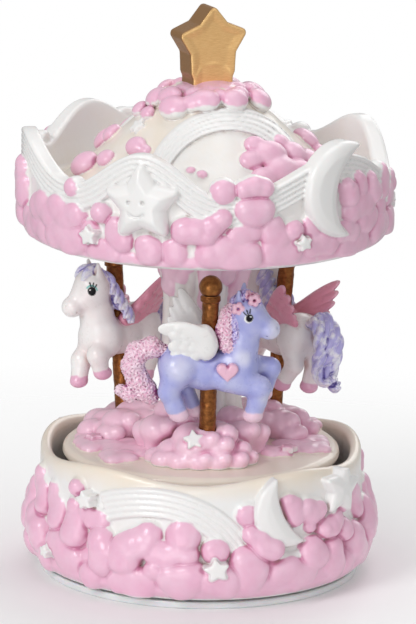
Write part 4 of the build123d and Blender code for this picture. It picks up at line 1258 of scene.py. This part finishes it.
def make_balls(places):
    """The knobs on the poles."""
    all_points, all_faces, underside_shade = [], [], []
    rise = POLE_LENGTH - 1 + BALL_R * 0.86
    for place in places:
        angles = [math.pi * k / 60 for k in range(1, 60)]
        profile = [(BALL_R * math.sin(a), rise - BALL_R * math.cos(a)) for a in angles]
        profile = [p for p in profile if p[1] > POLE_LENGTH - 0.6]
        points, faces = lathe(profile, 72, lambda a, z: 0.05 * np.sin(5 * a + z) * np.sin(1.3 * z))
        first = sum(len(p) for p in all_points)
        all_faces += [tuple(i + first for i in f) for f in faces]
        # Painted shade on the knob's underside, where it meets the pole
        underside_shade.append(smooth(POLE_LENGTH + 0.6 - points[:, 2], 0.0, 1.0))
        all_points.append(moved(points, place))
    points = np.concatenate(all_points)
    masks = {"hollow": np.concatenate(underside_shade), "sharp": np.zeros(len(points))}
    material = gilt_material("rubbed copper, knobs", (0.42, 0.175, 0.05), (0.22, 0.08, 0.022), (1, 1, 1))
    publish("pole_knobs", (points, all_faces, masks), "turntable", material, "pole_copper", "pole_balls")


# ---------------------------------------------------------------- horses
# In a horse's own frame +X is forwards, +Z is up and the pole runs through the origin.
# Paints: (main, pale, dark); the pale one also serves as painted highlight on ridges, the dark one as painted
# shade in hollows
FRONT_COAT = ((0.36, 0.38, 0.74), (0.70, 0.70, 0.86), (0.17, 0.16, 0.46))
WHITE_COAT = ((0.90, 0.86, 0.85), (0.94, 0.93, 0.92), (0.66, 0.50, 0.48))
LILAC_HAIR = ((0.46, 0.42, 0.76), (0.90, 0.88, 0.93), (0.17, 0.13, 0.42))
PINK_HAIR = ((0.84, 0.46, 0.62), (0.92, 0.70, 0.80), (0.42, 0.10, 0.26))
FRONT_WING = ((0.84, 0.83, 0.82), (0.92, 0.91, 0.90), (0.46, 0.42, 0.42))
PINK_WING = ((0.86, 0.36, 0.48), (0.93, 0.56, 0.66), (0.40, 0.09, 0.18))
EYE_TEAL = (0.16, 0.55, 0.50)
EYE_HIGHLIGHT = (0.90, 0.90, 0.90)
EYE_BLACK = (0.012, 0.011, 0.013)


def horse_place(name):
    up = (HORSE_Z - PLATFORM_TOP) / math.cos(math.radians(POLE_LEAN))
    return pole_place(name) @ shift(0, 0, up) @ turn("z", 90 + HORSE_YAW[name])


def limb(clay, layer, joints, blend=1.2):
    """A limb of tapered rods through (x, y, z, radius) joints."""
    for (*start, start_r), (*end, end_r) in zip(joints, joints[1:]):
        clay.add(layer, rod(start, start_r, end, end_r), blend)


def curve(points, steps):
    """Evenly many points on a smooth curve through the given ones."""
    p = np.array([points[0]] + list(points) + [points[-1]], float)
    out = []
    for i in range(1, len(p) - 2):
        for t in np.arange(steps) / steps:
            a = 2 * p[i]
            b = (p[i + 1] - p[i - 1]) * t
            c = (2 * p[i - 1] - 5 * p[i] + 4 * p[i + 1] - p[i + 2]) * t * t
            d = (-p[i - 1] + 3 * p[i] - 3 * p[i + 1] + p[i + 2]) * t**3
            out.append(0.5 * (a + b + c + d))
    out.append(p[-2])
    return np.array(out)


def rope(clay, layer, path, pitch=4.2, strands=3):
    """A twisted rope of hair along a path of (x, y, z, radius)."""
    line = curve(path, 16)
    lengths = np.linalg.norm(np.diff(line[:, :3], axis=0), axis=1)
    along = np.concatenate([[0.0], np.cumsum(lengths)])
    even = np.arange(0.0, along[-1], pitch / 9)
    line = np.stack([np.interp(even, along, line[:, k]) for k in range(4)], axis=1)
    tangent = np.gradient(line[:, :3], axis=0)
    tangent /= np.maximum(np.linalg.norm(tangent, axis=1), 1e-6)[:, None]
    side = np.cross(tangent, (0.1, 1.0, 0.2))
    side /= np.linalg.norm(side, axis=1)[:, None]
    up = np.cross(tangent, side)
    for k in range(strands):
        angle = 2 * math.pi * (k / strands + even / pitch / strands)
        round_it = np.cos(angle)[:, None] * side + np.sin(angle)[:, None] * up
        track = line[:, :3] + (0.55 * line[:, 3])[:, None] * round_it
        radius = 0.56 * line[:, 3]
        for i in range(len(track) - 1):
            clay.add(layer, rod(track[i], radius[i], track[i + 1], radius[i + 1]), 0.08, pad=1.0)


def curls(clay, layer, size, depth):
    """Presses a curly, pitted texture into a layer of hair."""
    field = clay.layer(layer)
    k = 2 * math.pi / size
    x = clay.axes[0][:, None, None] * k
    y = clay.axes[1][None, :, None] * k
    z = clay.axes[2][None, None, :] * k
    x, y, z = x + 0.9 * np.sin(0.45 * z + 1), y + 0.9 * np.sin(0.5 * x), z + 0.8 * np.sin(0.4 * y + 2)
    knots = np.sin(x) * np.cos(y) + np.sin(y) * np.cos(z) + np.sin(z) * np.cos(x)
    field += np.where(field < 6.0, depth * (np.abs(knots) - 0.45), 0.0).astype(np.float32)


def feather(clay, layer, frame_of_wing, start, angle, length, width):
    """One flat feather with a raised spine, lying in the wing's XZ plane."""
    place = frame_of_wing @ shift(*start) @ turn("y", angle) @ shift(length / 2, 0, 0)
    clay.add(layer, blob((length / 2, 0.95, width / 2), place), blend=0.10)


def feathered_wing(clay, side, root, bearing, roll, length, spread, broad):
    """A wing of overlapping feathers; bearing is its leading edge's angle above +X."""
    base = shift(*root) @ turn("x", -side * roll) @ turn("y", -bearing)
    for k in range(7):
        share = k / 6
        reach = length * (1.0 - 0.50 * share**1.3)
        start = (-0.4 * k, 0.22 * side * k, 0.55 * k)
        feather(clay, "wing", base, start, -spread * share, reach, broad)
    for row in range(3):
        for k in range(5):
            reach = 3.6 + 1.0 * (k % 2)
            start = (0.6 + row * 3.4 * (length / 18), side * (0.85 - 0.12 * row),
                     -0.3 + 1.55 * k * (broad / 4.0))
            feather(clay, "wing", base, start, -spread * k / 5.0, reach, broad * 0.72)
    clay.add("wing", rod((base @ (0, 0, -0.3, 1))[:3], 1.7, (base @ (length * 0.62, 0, -0.5, 1))[:3], 0.9),
             0.5)
    clay.add("wing", blob((3.2, 1.9, 3.6), base @ shift(0.0, -0.4 * side, 1.8)), 0.8)


def heart_outline(size):
    """The signed distance to a heart's outline, in its own plane."""
    points = []
    for k in range(28):
        t = 2 * math.pi * k / 28
        u = 16 * math.sin(t) ** 3
        v = 13 * math.cos(t) - 5 * math.cos(2 * t) - 2 * math.cos(3 * t) - math.cos(4 * t)
        points.append((-u * size / 32, v * size / 32))
    return lambda u, v: outline_distance(points, u, v)


def touch(clay, field, start, direction):
    """Where a ray from start first meets a field's surface."""
    start, direction = np.array(start, float), np.array(direction, float)
    direction /= np.linalg.norm(direction)
    steps = start + np.arange(0, 16, 0.04)[:, None] * direction
    return steps[np.argmax(clay.sample(field, steps) < 0)]


def trunk(clay):
    """The body between the legs, full at the haunches and chest."""
    limb(clay, "coat", [(-8.2, 0, 1.2, 6.2), (-1.0, 0, -0.8, 5.3), (7.6, 0, 0.2, 5.9)], 2.2)
    for x, y, z, radius in ((-8.6, 1.6, 1.0, 5.6), (8.4, 1.4, -0.6, 5.0)):
        for side in (-1, 1):
            clay.add("coat", ball((x, side * y, z), radius), 1.6)


def head(clay, place):
    """Neck top, skull, cheeks, muzzle and ears, in the head's own frame."""
    def at(x, y, z):
        return (place @ (x, y, z, 1))[:3]

    clay.add("coat", ball(at(-0.2, 0, 1.4), 5.5), 1.5)
    clay.add("coat", ball(at(1.8, 0, -1.6), 4.6), 1.5)
    clay.add("coat", rod(at(3.0, 0, -0.4), 3.6, at(6.8, 0, -2.5), 2.8), 1.6)
    clay.add("coat", blob((3.0, 3.4, 2.95), place @ shift(7.2, 0, -2.8)), 0.8)
    for side in (-1, 1):
        clay.add("coat", rod(at(-1.6, 2.9 * side, 4.6), 1.7, at(-1.9, 3.7 * side, 8.3), 0.5), 0.5)
        clay.carve("coat", rod(at(-0.6, 3.2 * side, 5.6), 0.55, at(-1.1, 3.7 * side, 7.4), 0.3), 0.3)
        clay.carve("coat", ball(at(9.8, 1.3 * side, -1.6), 0.42), 0.25)
        clay.carve("coat", rod(at(9.9, 0.4 * side, -3.9), 0.2, at(7.0, 2.9 * side, -4.0), 0.2), 0.3)


# Each leg's joints, (x, y, z, radius), from the body down
LEGS = {
    "front": [
        [(-9.2, -2.8, 0.0, 5.2), (-11.6, -3.4, -6.2, 2.9), (-9.8, -3.6, -10.4, 2.6), (-8.8, -3.7, -12.4, 2.7)],
        [(-7.8, 2.8, -2.0, 4.4), (-6.6, 3.2, -7.4, 2.4), (-3.4, 3.4, -13.6, 2.1)],
        [(4.8, -3.0, -2.0, 4.2), (14.2, -3.8, -4.8, 3.3), (13.8, -3.8, -8.8, 2.6), (12.8, -3.8, -12.6, 2.7)],
        [(9.4, 2.8, 0.2, 3.9), (17.8, 3.6, -1.4, 2.9), (16.2, 3.8, -8.4, 2.4)],
    ],
    "left": [
        [(-9.0, -2.8, -0.6, 5.0), (-12.0, -3.4, -7.0, 2.7), (-10.4, -3.6, -13.4, 2.4)],
        [(-8.6, 2.8, -1.4, 4.6), (-10.6, 3.4, -7.4, 2.5), (-7.0, 3.6, -12.8, 2.3)],
        [(8.0, -3.0, -2.0, 3.9), (13.0, -3.6, -6.0, 2.8), (14.4, -3.6, -10.8, 2.5)],
        [(8.6, 2.8, -1.4, 3.9), (13.8, 3.6, -3.8, 2.9), (13.0, 3.8, -8.0, 2.4)],
    ],
}
LEGS["right"] = LEGS["left"]

HOOVES = {
    "front": [(-8.5, -3.7, -13.6), (-2.8, 3.4, -15.0), (12.6, -3.8, -13.9), (15.8, 3.8, -10.0)],
    "left": [(-10.2, -3.6, -15.0), (-6.2, 3.6, -14.6), (14.6, -3.6, -12.6), (12.2, 3.8, -10.0)],
}
HOOVES["right"] = HOOVES["left"]
# Which way each head looks: (yaw, nod)
HEADS = {"front": (-16.0, 3.0), "left": (-26.0, 8.0), "right": (10.0, 4.0)}


def front_hair(clay):
    """The lilac horse's curly mane and tail."""
    limb(clay, "hair", [(7.0, -1.2, 19.8, 1.7), (5.0, -1.6, 16.6, 2.4), (4.2, -1.9, 12.0, 2.9),
                        (5.0, -2.4, 7.8, 2.5), (6.4, -3.0, 6.0, 1.5)], 0.6)
    limb(clay, "lock", [(7.0, -1.4, 20.4, 1.7), (9.8, -1.6, 22.2, 2.0), (12.4, -1.8, 21.6, 1.6),
                        (13.8, -1.6, 20.0, 1.1)], 0.5)
    limb(clay, "lock", [(7.2, -3.0, 18.6, 1.3), (6.8, -3.6, 15.0, 1.2), (7.0, -3.8, 11.0, 1.1),
                        (7.2, -3.9, 7.0, 0.8)], 0.5)
    limb(clay, "hair", [(-13.4, 0, 5.0, 2.2), (-16.6, 0, 6.2, 3.0), (-20.6, 0, 4.6, 3.2), (-22.0, 0, 0.6, 3.2),
                        (-20.4, 0, -3.6, 3.3), (-18.0, 0, -7.0, 3.3), (-16.6, 0, -8.6, 2.6)], 0.8)
    limb(clay, "hair", [(-19.0, 0, -6.8, 2.6), (-22.6, -0.5, -7.8, 2.4), (-25.2, -0.8, -6.6, 1.8)], 0.8)
    curls(clay, "hair", 2.15, 0.55)
    curls(clay, "lock", 2.1, 0.45)


def rope_hair(clay, head_at):
    """The white horses' rope-like mane and tail."""
    for side in (-1, 1):
        for k in range(5):
            start = head_at(-2.6 - 0.7 * k, 1.2 * side, 5.4 - 2.5 * k)
            drop = 6.6 + 0.5 * (k % 2)
            middle = start + np.array([-1.9 - 0.3 * k, 2.5 * side, -0.45 * drop])
            end = start + np.array([-1.2 - 0.4 * k, 3.6 * side, -drop])
            rope(clay, "hair", [(*start, 1.5), (*middle, 1.6), (*end, 0.9)])
        fore = [head_at(-2.6, 0.9 * side, 6.2), head_at(0.6, 1.9 * side, 6.6), head_at(3.0, 2.8 * side, 4.8)]
        rope(clay, "hair", [(*fore[0], 1.4), (*fore[1], 1.5), (*fore[2], 0.8)])
    for y, out, low in ((-2.6, 0.0, 0.0), (2.6, -0.3, 0.6), (0.0, 1.5, 1.6), (0.2, -2.6, 1.0),
                        (-1.6, 2.6, -1.0)):
        rope(clay, "hair", [(-12.6, 0.3 * y, 4.4, 1.5), (-16.6, 0.7 * y, 6.6 + 0.5 * out, 1.7),
                            (-19.6 - 0.8 * out, y, 3.2, 1.9), (-20.2 - 0.8 * out, y, -2.2, 1.9),
                            (-19.4 - 0.7 * out, 0.9 * y, -7.4 + low, 1.8),
                            (-21.6 - 0.5 * out, 0.8 * y, -10.8 + low, 1.5),
                            (-24.4 - 0.3 * out, 0.6 * y, -10.2 + low, 1.0)], 4.6)


def front_ornaments(clay):
    """The lilac horse's heart and the two flowers in its mane."""
    heart = heart_outline(6.2)
    place = shift(4.8, -6.2, 1.0) @ turn("z", 4)
    clay.add("heart", local(lambda u, v, w: soft_max(heart(u, w), np.abs(v) - 1.3, 0.8), 6, place), 0.1)
    for x, y, z in ((7.6, -4.4, 19.2), (12.2, -4.0, 21.6)):
        for k in range(5):
            a = 2 * math.pi * k / 5
            clay.add("heart", ball((x + 1.15 * math.cos(a), y, z + 1.15 * math.sin(a)), 0.85), 0.1)


def paint_eye(masks, rel, ahead, up, size):
    """Adds an eye to the black, ring and teal masks: a dark oval with a painted glint, a white painted
    highlight showing at one side of it, a lid and three lashes.
    """
    u, v = rel @ ahead, rel @ up
    near_eye = np.linalg.norm(rel, axis=1) < 4.5
    oval = np.hypot(u / size, v / (1.18 * size))
    black = np.maximum(masks["black"], near_eye * smooth(1.0 - oval, -0.10, 0.10))
    # Painted highlight: a white oval behind the dark one, showing at one side
    eye_highlight = np.hypot((u + 0.25) / 1.15, (v + 0.2) / 1.25)
    masks["ring"] = np.maximum(masks["ring"], near_eye * smooth(1.08 - eye_highlight, -0.08, 0.12))
    # Painted glint: a small gap in the black that shows the white or the coat beneath
    glint = np.hypot(u - 0.34, v - 0.44) < 0.21
    black = np.where(near_eye & glint, 0.0, black)
    lid = smooth(0.26 - np.abs(oval - 1.24), 0, 0.16) * smooth(v - 0.45 * u, 0.35, 0.7)
    masks["teal"] = np.maximum(masks["teal"], near_eye * lid)
    for k in range(3):
        angle = math.radians(140 - 24 * k)
        start = (1.2 * math.cos(angle), 1.4 * math.sin(angle))
        along = (math.cos(angle), math.sin(angle))
        t = np.clip((u - start[0]) * along[0] + (v - start[1]) * along[1], 0, 1.1)
        gap = np.hypot(u - start[0] - along[0] * t, v - start[1] - along[1] * t)
        black = np.maximum(black, near_eye * smooth(0.27 - gap, 0.0, 0.16))
    masks["black"] = black


# Where painted highlights pale the coat: (centre, radius)
HIGHLIGHT_SPOTS = [((-9.0, -6, 1.6), 5.2), ((-9.0, 6, 1.6), 5.2), ((9.4, -5, 4.4), 3.6), ((9.4, 5, 4.4), 3.6),
              ((15.2, -5, -7.0), 3.0), ((10.0, -4, -3.6), 3.2)]


def make_horse(name):
    """A winged pony, cast in one piece with its hair, round the pole."""
    clay = Clay((-28.5, -13.5, -19.5), (23.5, 13.5, 27.5), 0.27)
    white = name != "front"
    yaw, nod = HEADS[name]
    head_place = shift(10.2, 0, 14.2 if white else 15.4) @ turn("z", yaw) @ turn("y", nod)

    def at(x, y, z):
        return (head_place @ (x, y, z, 1))[:3]

    trunk(clay)
    limb(clay, "coat", [(8.4, 0, 2.0, 5.4), (9.2, 0, 8.0, 4.5), (9.8, 0, 13.2, 4.4)], 2.4)
    head(clay, head_place)
    for joints in LEGS[name]:
        limb(clay, "coat", joints, 1.3)
    for x, y, z in HOOVES[name]:
        clay.add("coat", blob((2.9, 2.5, 2.0), shift(x, y, z + 0.6)), 0.5)
    clay.carve("coat", below(-17.2), 0.4)
    for layer in ("lock", "heart"):
        clay.layer(layer)
    if white:
        rope_hair(clay, at)
        for side in (-1, 1):
            feathered_wing(clay, side, (1.6, 4.0 * side, 4.4), 132, 30, 19.5, 46, 4.6)
    else:
        front_hair(clay)
        feathered_wing(clay, -1, (-1.8, -4.6, 12.4), 176, 8, 13.5, -34, 5.4)
        clay.add("wing", blob((3.4, 2.2, 4.6), shift(-1.2, -4.2, 8.2)), 0.8)
        feathered_wing(clay, 1, (0.4, 4.2, 5.0), 118, 16, 19.0, 40, 4.6)
        front_ornaments(clay)
    for layer in ("coat", "hair", "wing", "lock"):
        clay.carve(layer, pole_bore(np.eye(4)), 0.1)
    eyes = []
    for side in (-1, 1):
        aim = (head_place @ (-0.12, -side, 0, 0))[:3]
        eyes.append(touch(clay, clay.layers["coat"], at(3.1, 14.0 * side, 1.4), aim))

    def paint(points, normal, near):
        either = np.minimum(near["coat"], near["hair"])
        lock = covers(near, either, "lock", -0.1, 0.15)
        hair = np.maximum(covers(near, near["coat"], "hair", -0.1, 0.15), lock)
        wing = covers(near, either, "wing", -0.1, 0.15)
        heart = covers(near, either, "heart", -0.1, 0.12)
        on_skin = {key: np.zeros(len(points)) for key in ("hoof", "black", "ring", "teal", "pale")}
        for x, y, z in HOOVES[name]:
            away = np.linalg.norm((points - (x, y, z)) / (3.4, 3.4, 3.0), axis=1)
            edge = smooth(1.12 - away + 0.04 * ripple(points, 3.0, 9), 0.0, 0.14)
            on_skin["hoof"] = np.maximum(on_skin["hoof"], edge)
        for centre in eyes:
            paint_eye(on_skin, points - centre, head_place[:3, 0], head_place[:3, 2], 1.15 if white else 1.0)
        # Painted highlights on the haunches, shoulders and a foreleg
        for centre, radius in HIGHLIGHT_SPOTS:
            spot = smooth(radius - np.linalg.norm(points - centre, axis=1), 0.0, radius * 0.8)
            on_skin["pale"] = np.maximum(on_skin["pale"], spot)
        # Painted highlight on the muzzle too
        muzzle = smooth(3.9 - np.linalg.norm(points - at(8.2, 0, -2.8), axis=1), -0.1, 1.2)
        on_skin["pale"] = np.maximum(on_skin["pale"], muzzle)
        skin = (1 - hair) * (1 - wing) * (1 - heart)
        masks = {key: values * skin for key, values in on_skin.items()}
        return {"hair": hair, "lock": lock, "wing": wing, "heart": heart, **masks}

    layers = ["coat", "hair", "lock", "wing", "heart"]
    points, faces, masks = without_islands(*clay.mesh(layers, (0.25, 0.2, 0.35, 0.15), paint))
    cast = (moved(points, horse_place(name)), faces, masks)
    slot = "horse_white" if white else "horse_lilac"
    publish("horse_" + name + "_cast", cast, "turntable", horse_material(name), slot, "horse_" + name)


def horse_material(name):
    """Hand-painted resin: coat with painted highlights on high spots and shaded creases, hair, wings, hooves
    and eyes, each paler on ridges as painted highlight and darker in hollows as painted shade.
    """
    s = Shader("painted horse " + name)
    front = name == "front"
    coat, pale, shade = FRONT_COAT if front else WHITE_COAT
    hair, hair_light, hair_dark = PINK_HAIR if front else LILAC_HAIR
    wing, wing_light, wing_dark = FRONT_WING if front else PINK_WING
    hollow, sharp = s.mask("hollow"), s.mask("sharp")
    colour = s.over(coat, pale, s.noise(0.18), 0.35, 0.7, 0.45)
    # Painted highlight spots, from the pale mask
    colour = s.mix(s.math("MULTIPLY", s.mask("pale"), 0.85), colour, pale)
    # Painted highlight on ridges, painted shade in creases
    colour = s.over(colour, pale, sharp, 0.2, 0.8, 0.5)
    colour = s.over(colour, shade, hollow, 0.15, 0.75, 0.8)
    if not front:
        colour = s.over(colour, (0.82, 0.62, 0.62), s.noise(0.11), 0.45, 0.7, 0.3)
    # Hooves: deeper pink in hollows as painted shade
    hoof = s.over(PINK, PINK_CREASE_SHADE, hollow, 0.2, 0.8)
    if front:
        hoof = s.mix(0.55, hoof, (0.86, 0.72, 0.82))
    colour = s.mix(s.mask("hoof"), colour, hoof)
    # Hair: painted highlight on ridges, painted shade in hollows
    strands = s.over(hair, hair_light, sharp, 0.1, 0.7)
    strands = s.over(strands, hair_light, s.noise(0.35), 0.46, 0.6, 0.85)
    strands = s.over(strands, hair_dark, hollow, *((0.34, 0.85) if front else (0.25, 0.8)))
    if front:
        # The lock likewise: painted highlight on ridges, painted shade in hollows
        lock = s.over((0.40, 0.34, 0.74), (0.72, 0.62, 0.86), sharp, 0.1, 0.7)
        lock = s.over(lock, (0.16, 0.08, 0.34), hollow, 0.2, 0.7)
        strands = s.mix(s.mask("lock"), strands, lock)
    colour = s.mix(s.mask("hair"), colour, strands)
    # Wings: painted highlight on ridges, painted shade in hollows
    feathers = s.over(wing, wing_light, sharp, 0.15, 0.8, 0.7)
    feathers = s.over(feathers, wing_dark, hollow, 0.2, 0.75, 0.8)
    colour = s.mix(s.mask("wing"), colour, feathers)
    # Heart: darker in hollows as painted shade
    colour = s.mix(s.mask("heart"), colour, s.over((0.86, 0.52, 0.66), (0.55, 0.18, 0.32), hollow, 0.2, 0.7))
    eye_mask, eye_colour = ("ring", EYE_HIGHLIGHT) if front else ("teal", EYE_TEAL)
    colour = s.mix(s.mask(eye_mask), colour, eye_colour)
    colour = s.mix(s.mask("black"), colour, EYE_BLACK)
    s.set(Base_Color=colour)
    resin_finish(s, 0.26)
    s.set(Coat_Weight=s.fit(s.mask("black"), 0.0, 1.0, 0.4, 0.05))
    s.set(Specular_IOR_Level=s.fit(s.mask("black"), 0.0, 1.0, 0.5, 0.08))
    return s.material


# ---------------------------------------------------------------- finishes for the working parts
def toothed_brass(name, colour, rings):
    """Turned brass: concentric tool marks, a slightly uneven lacquer and darker tarnish in patches."""
    s = Shader(name)
    marks = s.noise(rings, detail=6.0, roughness=0.7, stretch=(1, 1, 0.12))
    tarnish = s.fit(s.noise(0.18, detail=5.0), 0.48, 0.72, 0.0, 0.6)
    bright = s.mix(s.fit(marks, 0.35, 0.7), scaled(colour, 0.86), colour)
    s.set(Base_Color=s.mix(tarnish, bright, scaled(colour, 0.55)), Metallic=1.0)
    s.set(Roughness=s.fit(marks, 0.3, 0.7, 0.20, 0.38))
    s.bump(marks, 0.008)
    return s.material


def moulded_plastic(name, colour, specks, rough, depth):
    """Moulded plastic: fine spark-erosion grain, a faint cloudiness and scuffs that catch the light."""
    s = Shader(name)
    cloud = s.fit(s.noise(0.10, detail=4.0), 0.35, 0.7)
    scuffs = s.fit(s.noise(0.9, detail=6.0, roughness=0.8, stretch=(1, 0.15, 1), turned=(0, 0, 35)),
                   0.56, 0.72)
    tone = s.mix(cloud, scaled(colour, 0.93), colour)
    s.set(Base_Color=s.mix(s.math("MULTIPLY", scuffs, 0.25), tone, scaled(colour, 1.12)))
    s.set(Roughness=s.fit(scuffs, 0.0, 1.0, *rough))
    s.bump(s.noise(specks, detail=2.0), depth)
    return s.material


def fibre_board(name):
    """The pressed-board floor: short fibres, flecks and a printed-paper tone."""
    s = Shader(name)
    fibres = s.noise(1.1, detail=6.0, roughness=0.75, stretch=(1, 0.2, 1))
    flecks = s.fit(s.cells(0.9), 0.0, 0.22, 0.5, 0.0)
    tone = s.mix(s.fit(fibres, 0.35, 0.7), (0.42, 0.30, 0.19), (0.60, 0.46, 0.32))
    s.set(Base_Color=s.mix(flecks, tone, (0.26, 0.17, 0.10)), Roughness=s.fit(fibres, 0.3, 0.7, 0.72, 0.9))
    s.bump(fibres, 0.05)
    return s.material


def die_casting(name):
    """Zinc die casting: a dull grain with brighter, rubbed high spots."""
    s = Shader(name)
    grain = s.noise(1.4, detail=5.0)
    rubbed = s.fit(s.noise(0.22, detail=3.0), 0.5, 0.7)
    s.set(Base_Color=s.mix(rubbed, (0.36, 0.37, 0.39), (0.58, 0.59, 0.61)), Metallic=1.0)
    s.set(Roughness=s.fit(rubbed, 0.0, 1.0, 0.55, 0.34))
    s.bump(grain, 0.03)
    return s.material


def winder_material():
    """The winding disc: milky moulded plastic that light sinks into."""
    s = moulded_plastic("milky moulded disc", (0.78, 0.79, 0.80), 2.2, (0.30, 0.48), 0.015)
    skin = s.node_tree.nodes["Principled BSDF"]
    skin.inputs["Subsurface Weight"].default_value = 0.25
    skin.inputs["Subsurface Scale"].default_value = 0.002
    skin.inputs["Coat Weight"].default_value = 0.2
    return s


def steel_material(name, colour, dry):
    """Ground steel with fine lines; its roughness falls from dry where there is a trace of oil."""
    s = Shader(name)
    lines = s.noise(0.9, detail=6.0, roughness=0.7, stretch=(1, 1, 16))
    oil = s.fit(s.noise(0.12), 0.45, 0.65)
    s.set(Base_Color=s.mix(lines, scaled(colour, 0.8), colour), Metallic=1.0)
    s.set(Roughness=s.mix(oil, (dry, dry, dry), (0.16, 0.16, 0.16)))
    s.bump(lines, 0.006)
    return s.material


def finish_working_parts():
    """Gives every CAD node that still shows its own procedural finish."""
    brass = toothed_brass("turned brass", (0.78, 0.57, 0.26), 1.3)
    steel = steel_material("ground steel", (0.62, 0.62, 0.64), 0.34)
    spring = steel_material("blued spring steel", (0.24, 0.27, 0.36), 0.30)
    screw = steel_material("zinc plated screws", (0.66, 0.65, 0.60), 0.30)
    zinc = die_casting("zinc die casting")
    nylon = moulded_plastic("cream nylon gears", (0.80, 0.76, 0.66), 2.6, (0.36, 0.5), 0.01)
    hub = moulded_plastic("grey hub plastic", (0.34, 0.35, 0.37), 2.6, (0.42, 0.58), 0.02)
    finishes = {
        "base_cover": fibre_board("pressed board"), "wind_disc": winder_material(), "disc_screw": screw,
        "cover_screws": screw, "movement_screws": screw, "bridge_screws": screw, "bracket_screw": screw,
        "comb_screws": screw, "thrust_washer": nylon, "drive_hub": hub, "movement_bedplate": zinc,
        "comb": steel, "winding_arbor": steel, "cylinder_shaft": steel, "governor_shaft": steel,
        "output_shaft": steel, "mainspring": spring, "clutch_spring": spring,
    }
    plastic = ("crown_gear", "cylinder_pinion", "cylinder_wheel", "governor_pinion", "worm_wheel",
               "air_brake_fan", "worm_spindle")
    finishes.update({node: nylon for node in plastic})
    for node, thing in carried_nodes().items():
        for slot in thing.material_slots:
            slot.material = finishes.get(node, brass)


def carried_nodes():
    """The CAD objects that nothing replaces, by node name."""
    replaced = {"base_casting", "canopy", "turntable_platform", "center_column", "star_finial", "pole_balls"}
    for name in POLE_ANGLES:
        replaced |= {f"pole_{name}", f"cloud_mound_{name}", f"horse_{name}"}
    return {name: thing for name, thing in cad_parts.items() if name not in replaced}


make_base()
make_canopy()
make_deck()
make_column()
for name in POLE_ANGLES:
    make_mound(name)
    make_horse(name)
make_balls([make_pole(name) for name in POLE_ANGLES])
make_star()
finish_working_parts()
bpy.context.scene.view_settings.view_transform = "Standard"


# ---------------------------------------------------------------- stage, in metres
WORLD_LIGHT = 0.42
SOLID_TO, GONE_AT = 0.062, 0.24  # how far out the floor starts to fade, and is gone
LENS_REACH = (0.1, 20.0)
CAMERA_OFFSET = (4.7, -30.0)  # where the picture's centre is from the aimed point, in its pixels


def make_stage():
    """A round white floor that fades out into a white studio, soft lights and the camera."""
    reach, sides = 1.6, 96
    ring = [polar(reach, 360 * k / sides, 0.0) for k in range(sides)]
    mesh = bpy.data.meshes.new("studio_floor")
    mesh.from_pydata(ring, [], [tuple(range(sides))])
    floor = bpy.data.objects.new("studio_floor", mesh)
    bpy.context.scene.collection.objects.link(floor)
    s = Shader("white floor")
    s.set(Base_Color=s.mix(s.noise(0.02), (0.94, 0.94, 0.94), (0.96, 0.96, 0.96)), Roughness=0.6)
    away = s.tree.nodes.new("ShaderNodeVectorMath")
    away.operation = "LENGTH"
    s.put(away.inputs[0], s.place)
    fade = s.fit(away.outputs["Value"], SOLID_TO, GONE_AT)
    s.set(Alpha=s.math("SUBTRACT", 1.0, fade))
    mesh.materials.append(s.material)
    floor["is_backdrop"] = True
    lamps = [("key", (-0.6, -0.7, 0.7), 0.40, 4.4), ("fill", (0.75, -0.65, 0.45), 0.6, 1.2),
             ("top", (0.05, 0.15, 0.95), 0.6, 2.0), ("back", (0.3, 0.65, 0.5), 0.5, 1.4),
             ("low", (-0.3, -1.0, 0.08), 0.6, 2.6)]
    for name, place, size, power in lamps:
        light = bpy.data.lights.new(name, "AREA")
        light.energy, light.size = power, size
        lamp = bpy.data.objects.new(name, light)
        lamp.location = place
        lamp.visible_camera = False
        aim = Vector((0, 0, 0.08)) - Vector(place)
        lamp.rotation_euler = aim.to_track_quat("-Z", "Y").to_euler()
        bpy.context.scene.collection.objects.link(lamp)
    world = bpy.data.worlds.new("studio")
    world.use_nodes = True
    nodes, links = world.node_tree.nodes, world.node_tree.links
    rays = nodes.new("ShaderNodeLightPath")
    level = nodes.new("ShaderNodeMapRange")
    level.inputs["To Min"].default_value, level.inputs["To Max"].default_value = WORLD_LIGHT, 1.0
    links.new(rays.outputs["Is Camera Ray"], level.inputs["Value"])
    links.new(level.outputs[0], nodes["Background"].inputs["Strength"])
    nodes["Background"].inputs["Color"].default_value = (1.0, 1.0, 1.0, 1.0)
    bpy.context.scene.world = world


def make_camera():
    """The product shot: far away, looking slightly down, with a long lens. Lengths are millimetres."""
    distance, rise, target = 1600.0, math.radians(13.9), Vector((0, 0, 85.0))
    wide, high = 416, 624
    per_mm = 1 / 0.29  # pixels of the picture at the aimed point
    tilt = math.radians(1.0)
    lens = bpy.data.cameras.new("camera")
    lens.sensor_fit, lens.sensor_width = "AUTO", 36.0
    lens.lens = distance * per_mm / max(wide, high) * lens.sensor_width
    lens.clip_start, lens.clip_end = LENS_REACH
    camera = bpy.data.objects.new("camera", lens)
    back = Vector((0, -math.cos(rise), math.sin(rise)))
    aim = (-back).to_track_quat("-Z", "Y").to_matrix().to_4x4()
    across, up = CAMERA_OFFSET
    target += aim.to_3x3() @ Vector((across / per_mm, up / per_mm, 0))
    camera.location = (target + back * distance) * MM
    camera.rotation_euler = (aim @ Matrix.Rotation(tilt, 4, "Z")).to_euler()
    bpy.context.scene.collection.objects.link(camera)
    bpy.context.scene.camera = camera


make_stage()
make_camera()


def flat(corners):
    return [[float(v) for v in corner] for corner in corners]


{"cad": flat(cad_bounds), "visual": flat(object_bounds())}
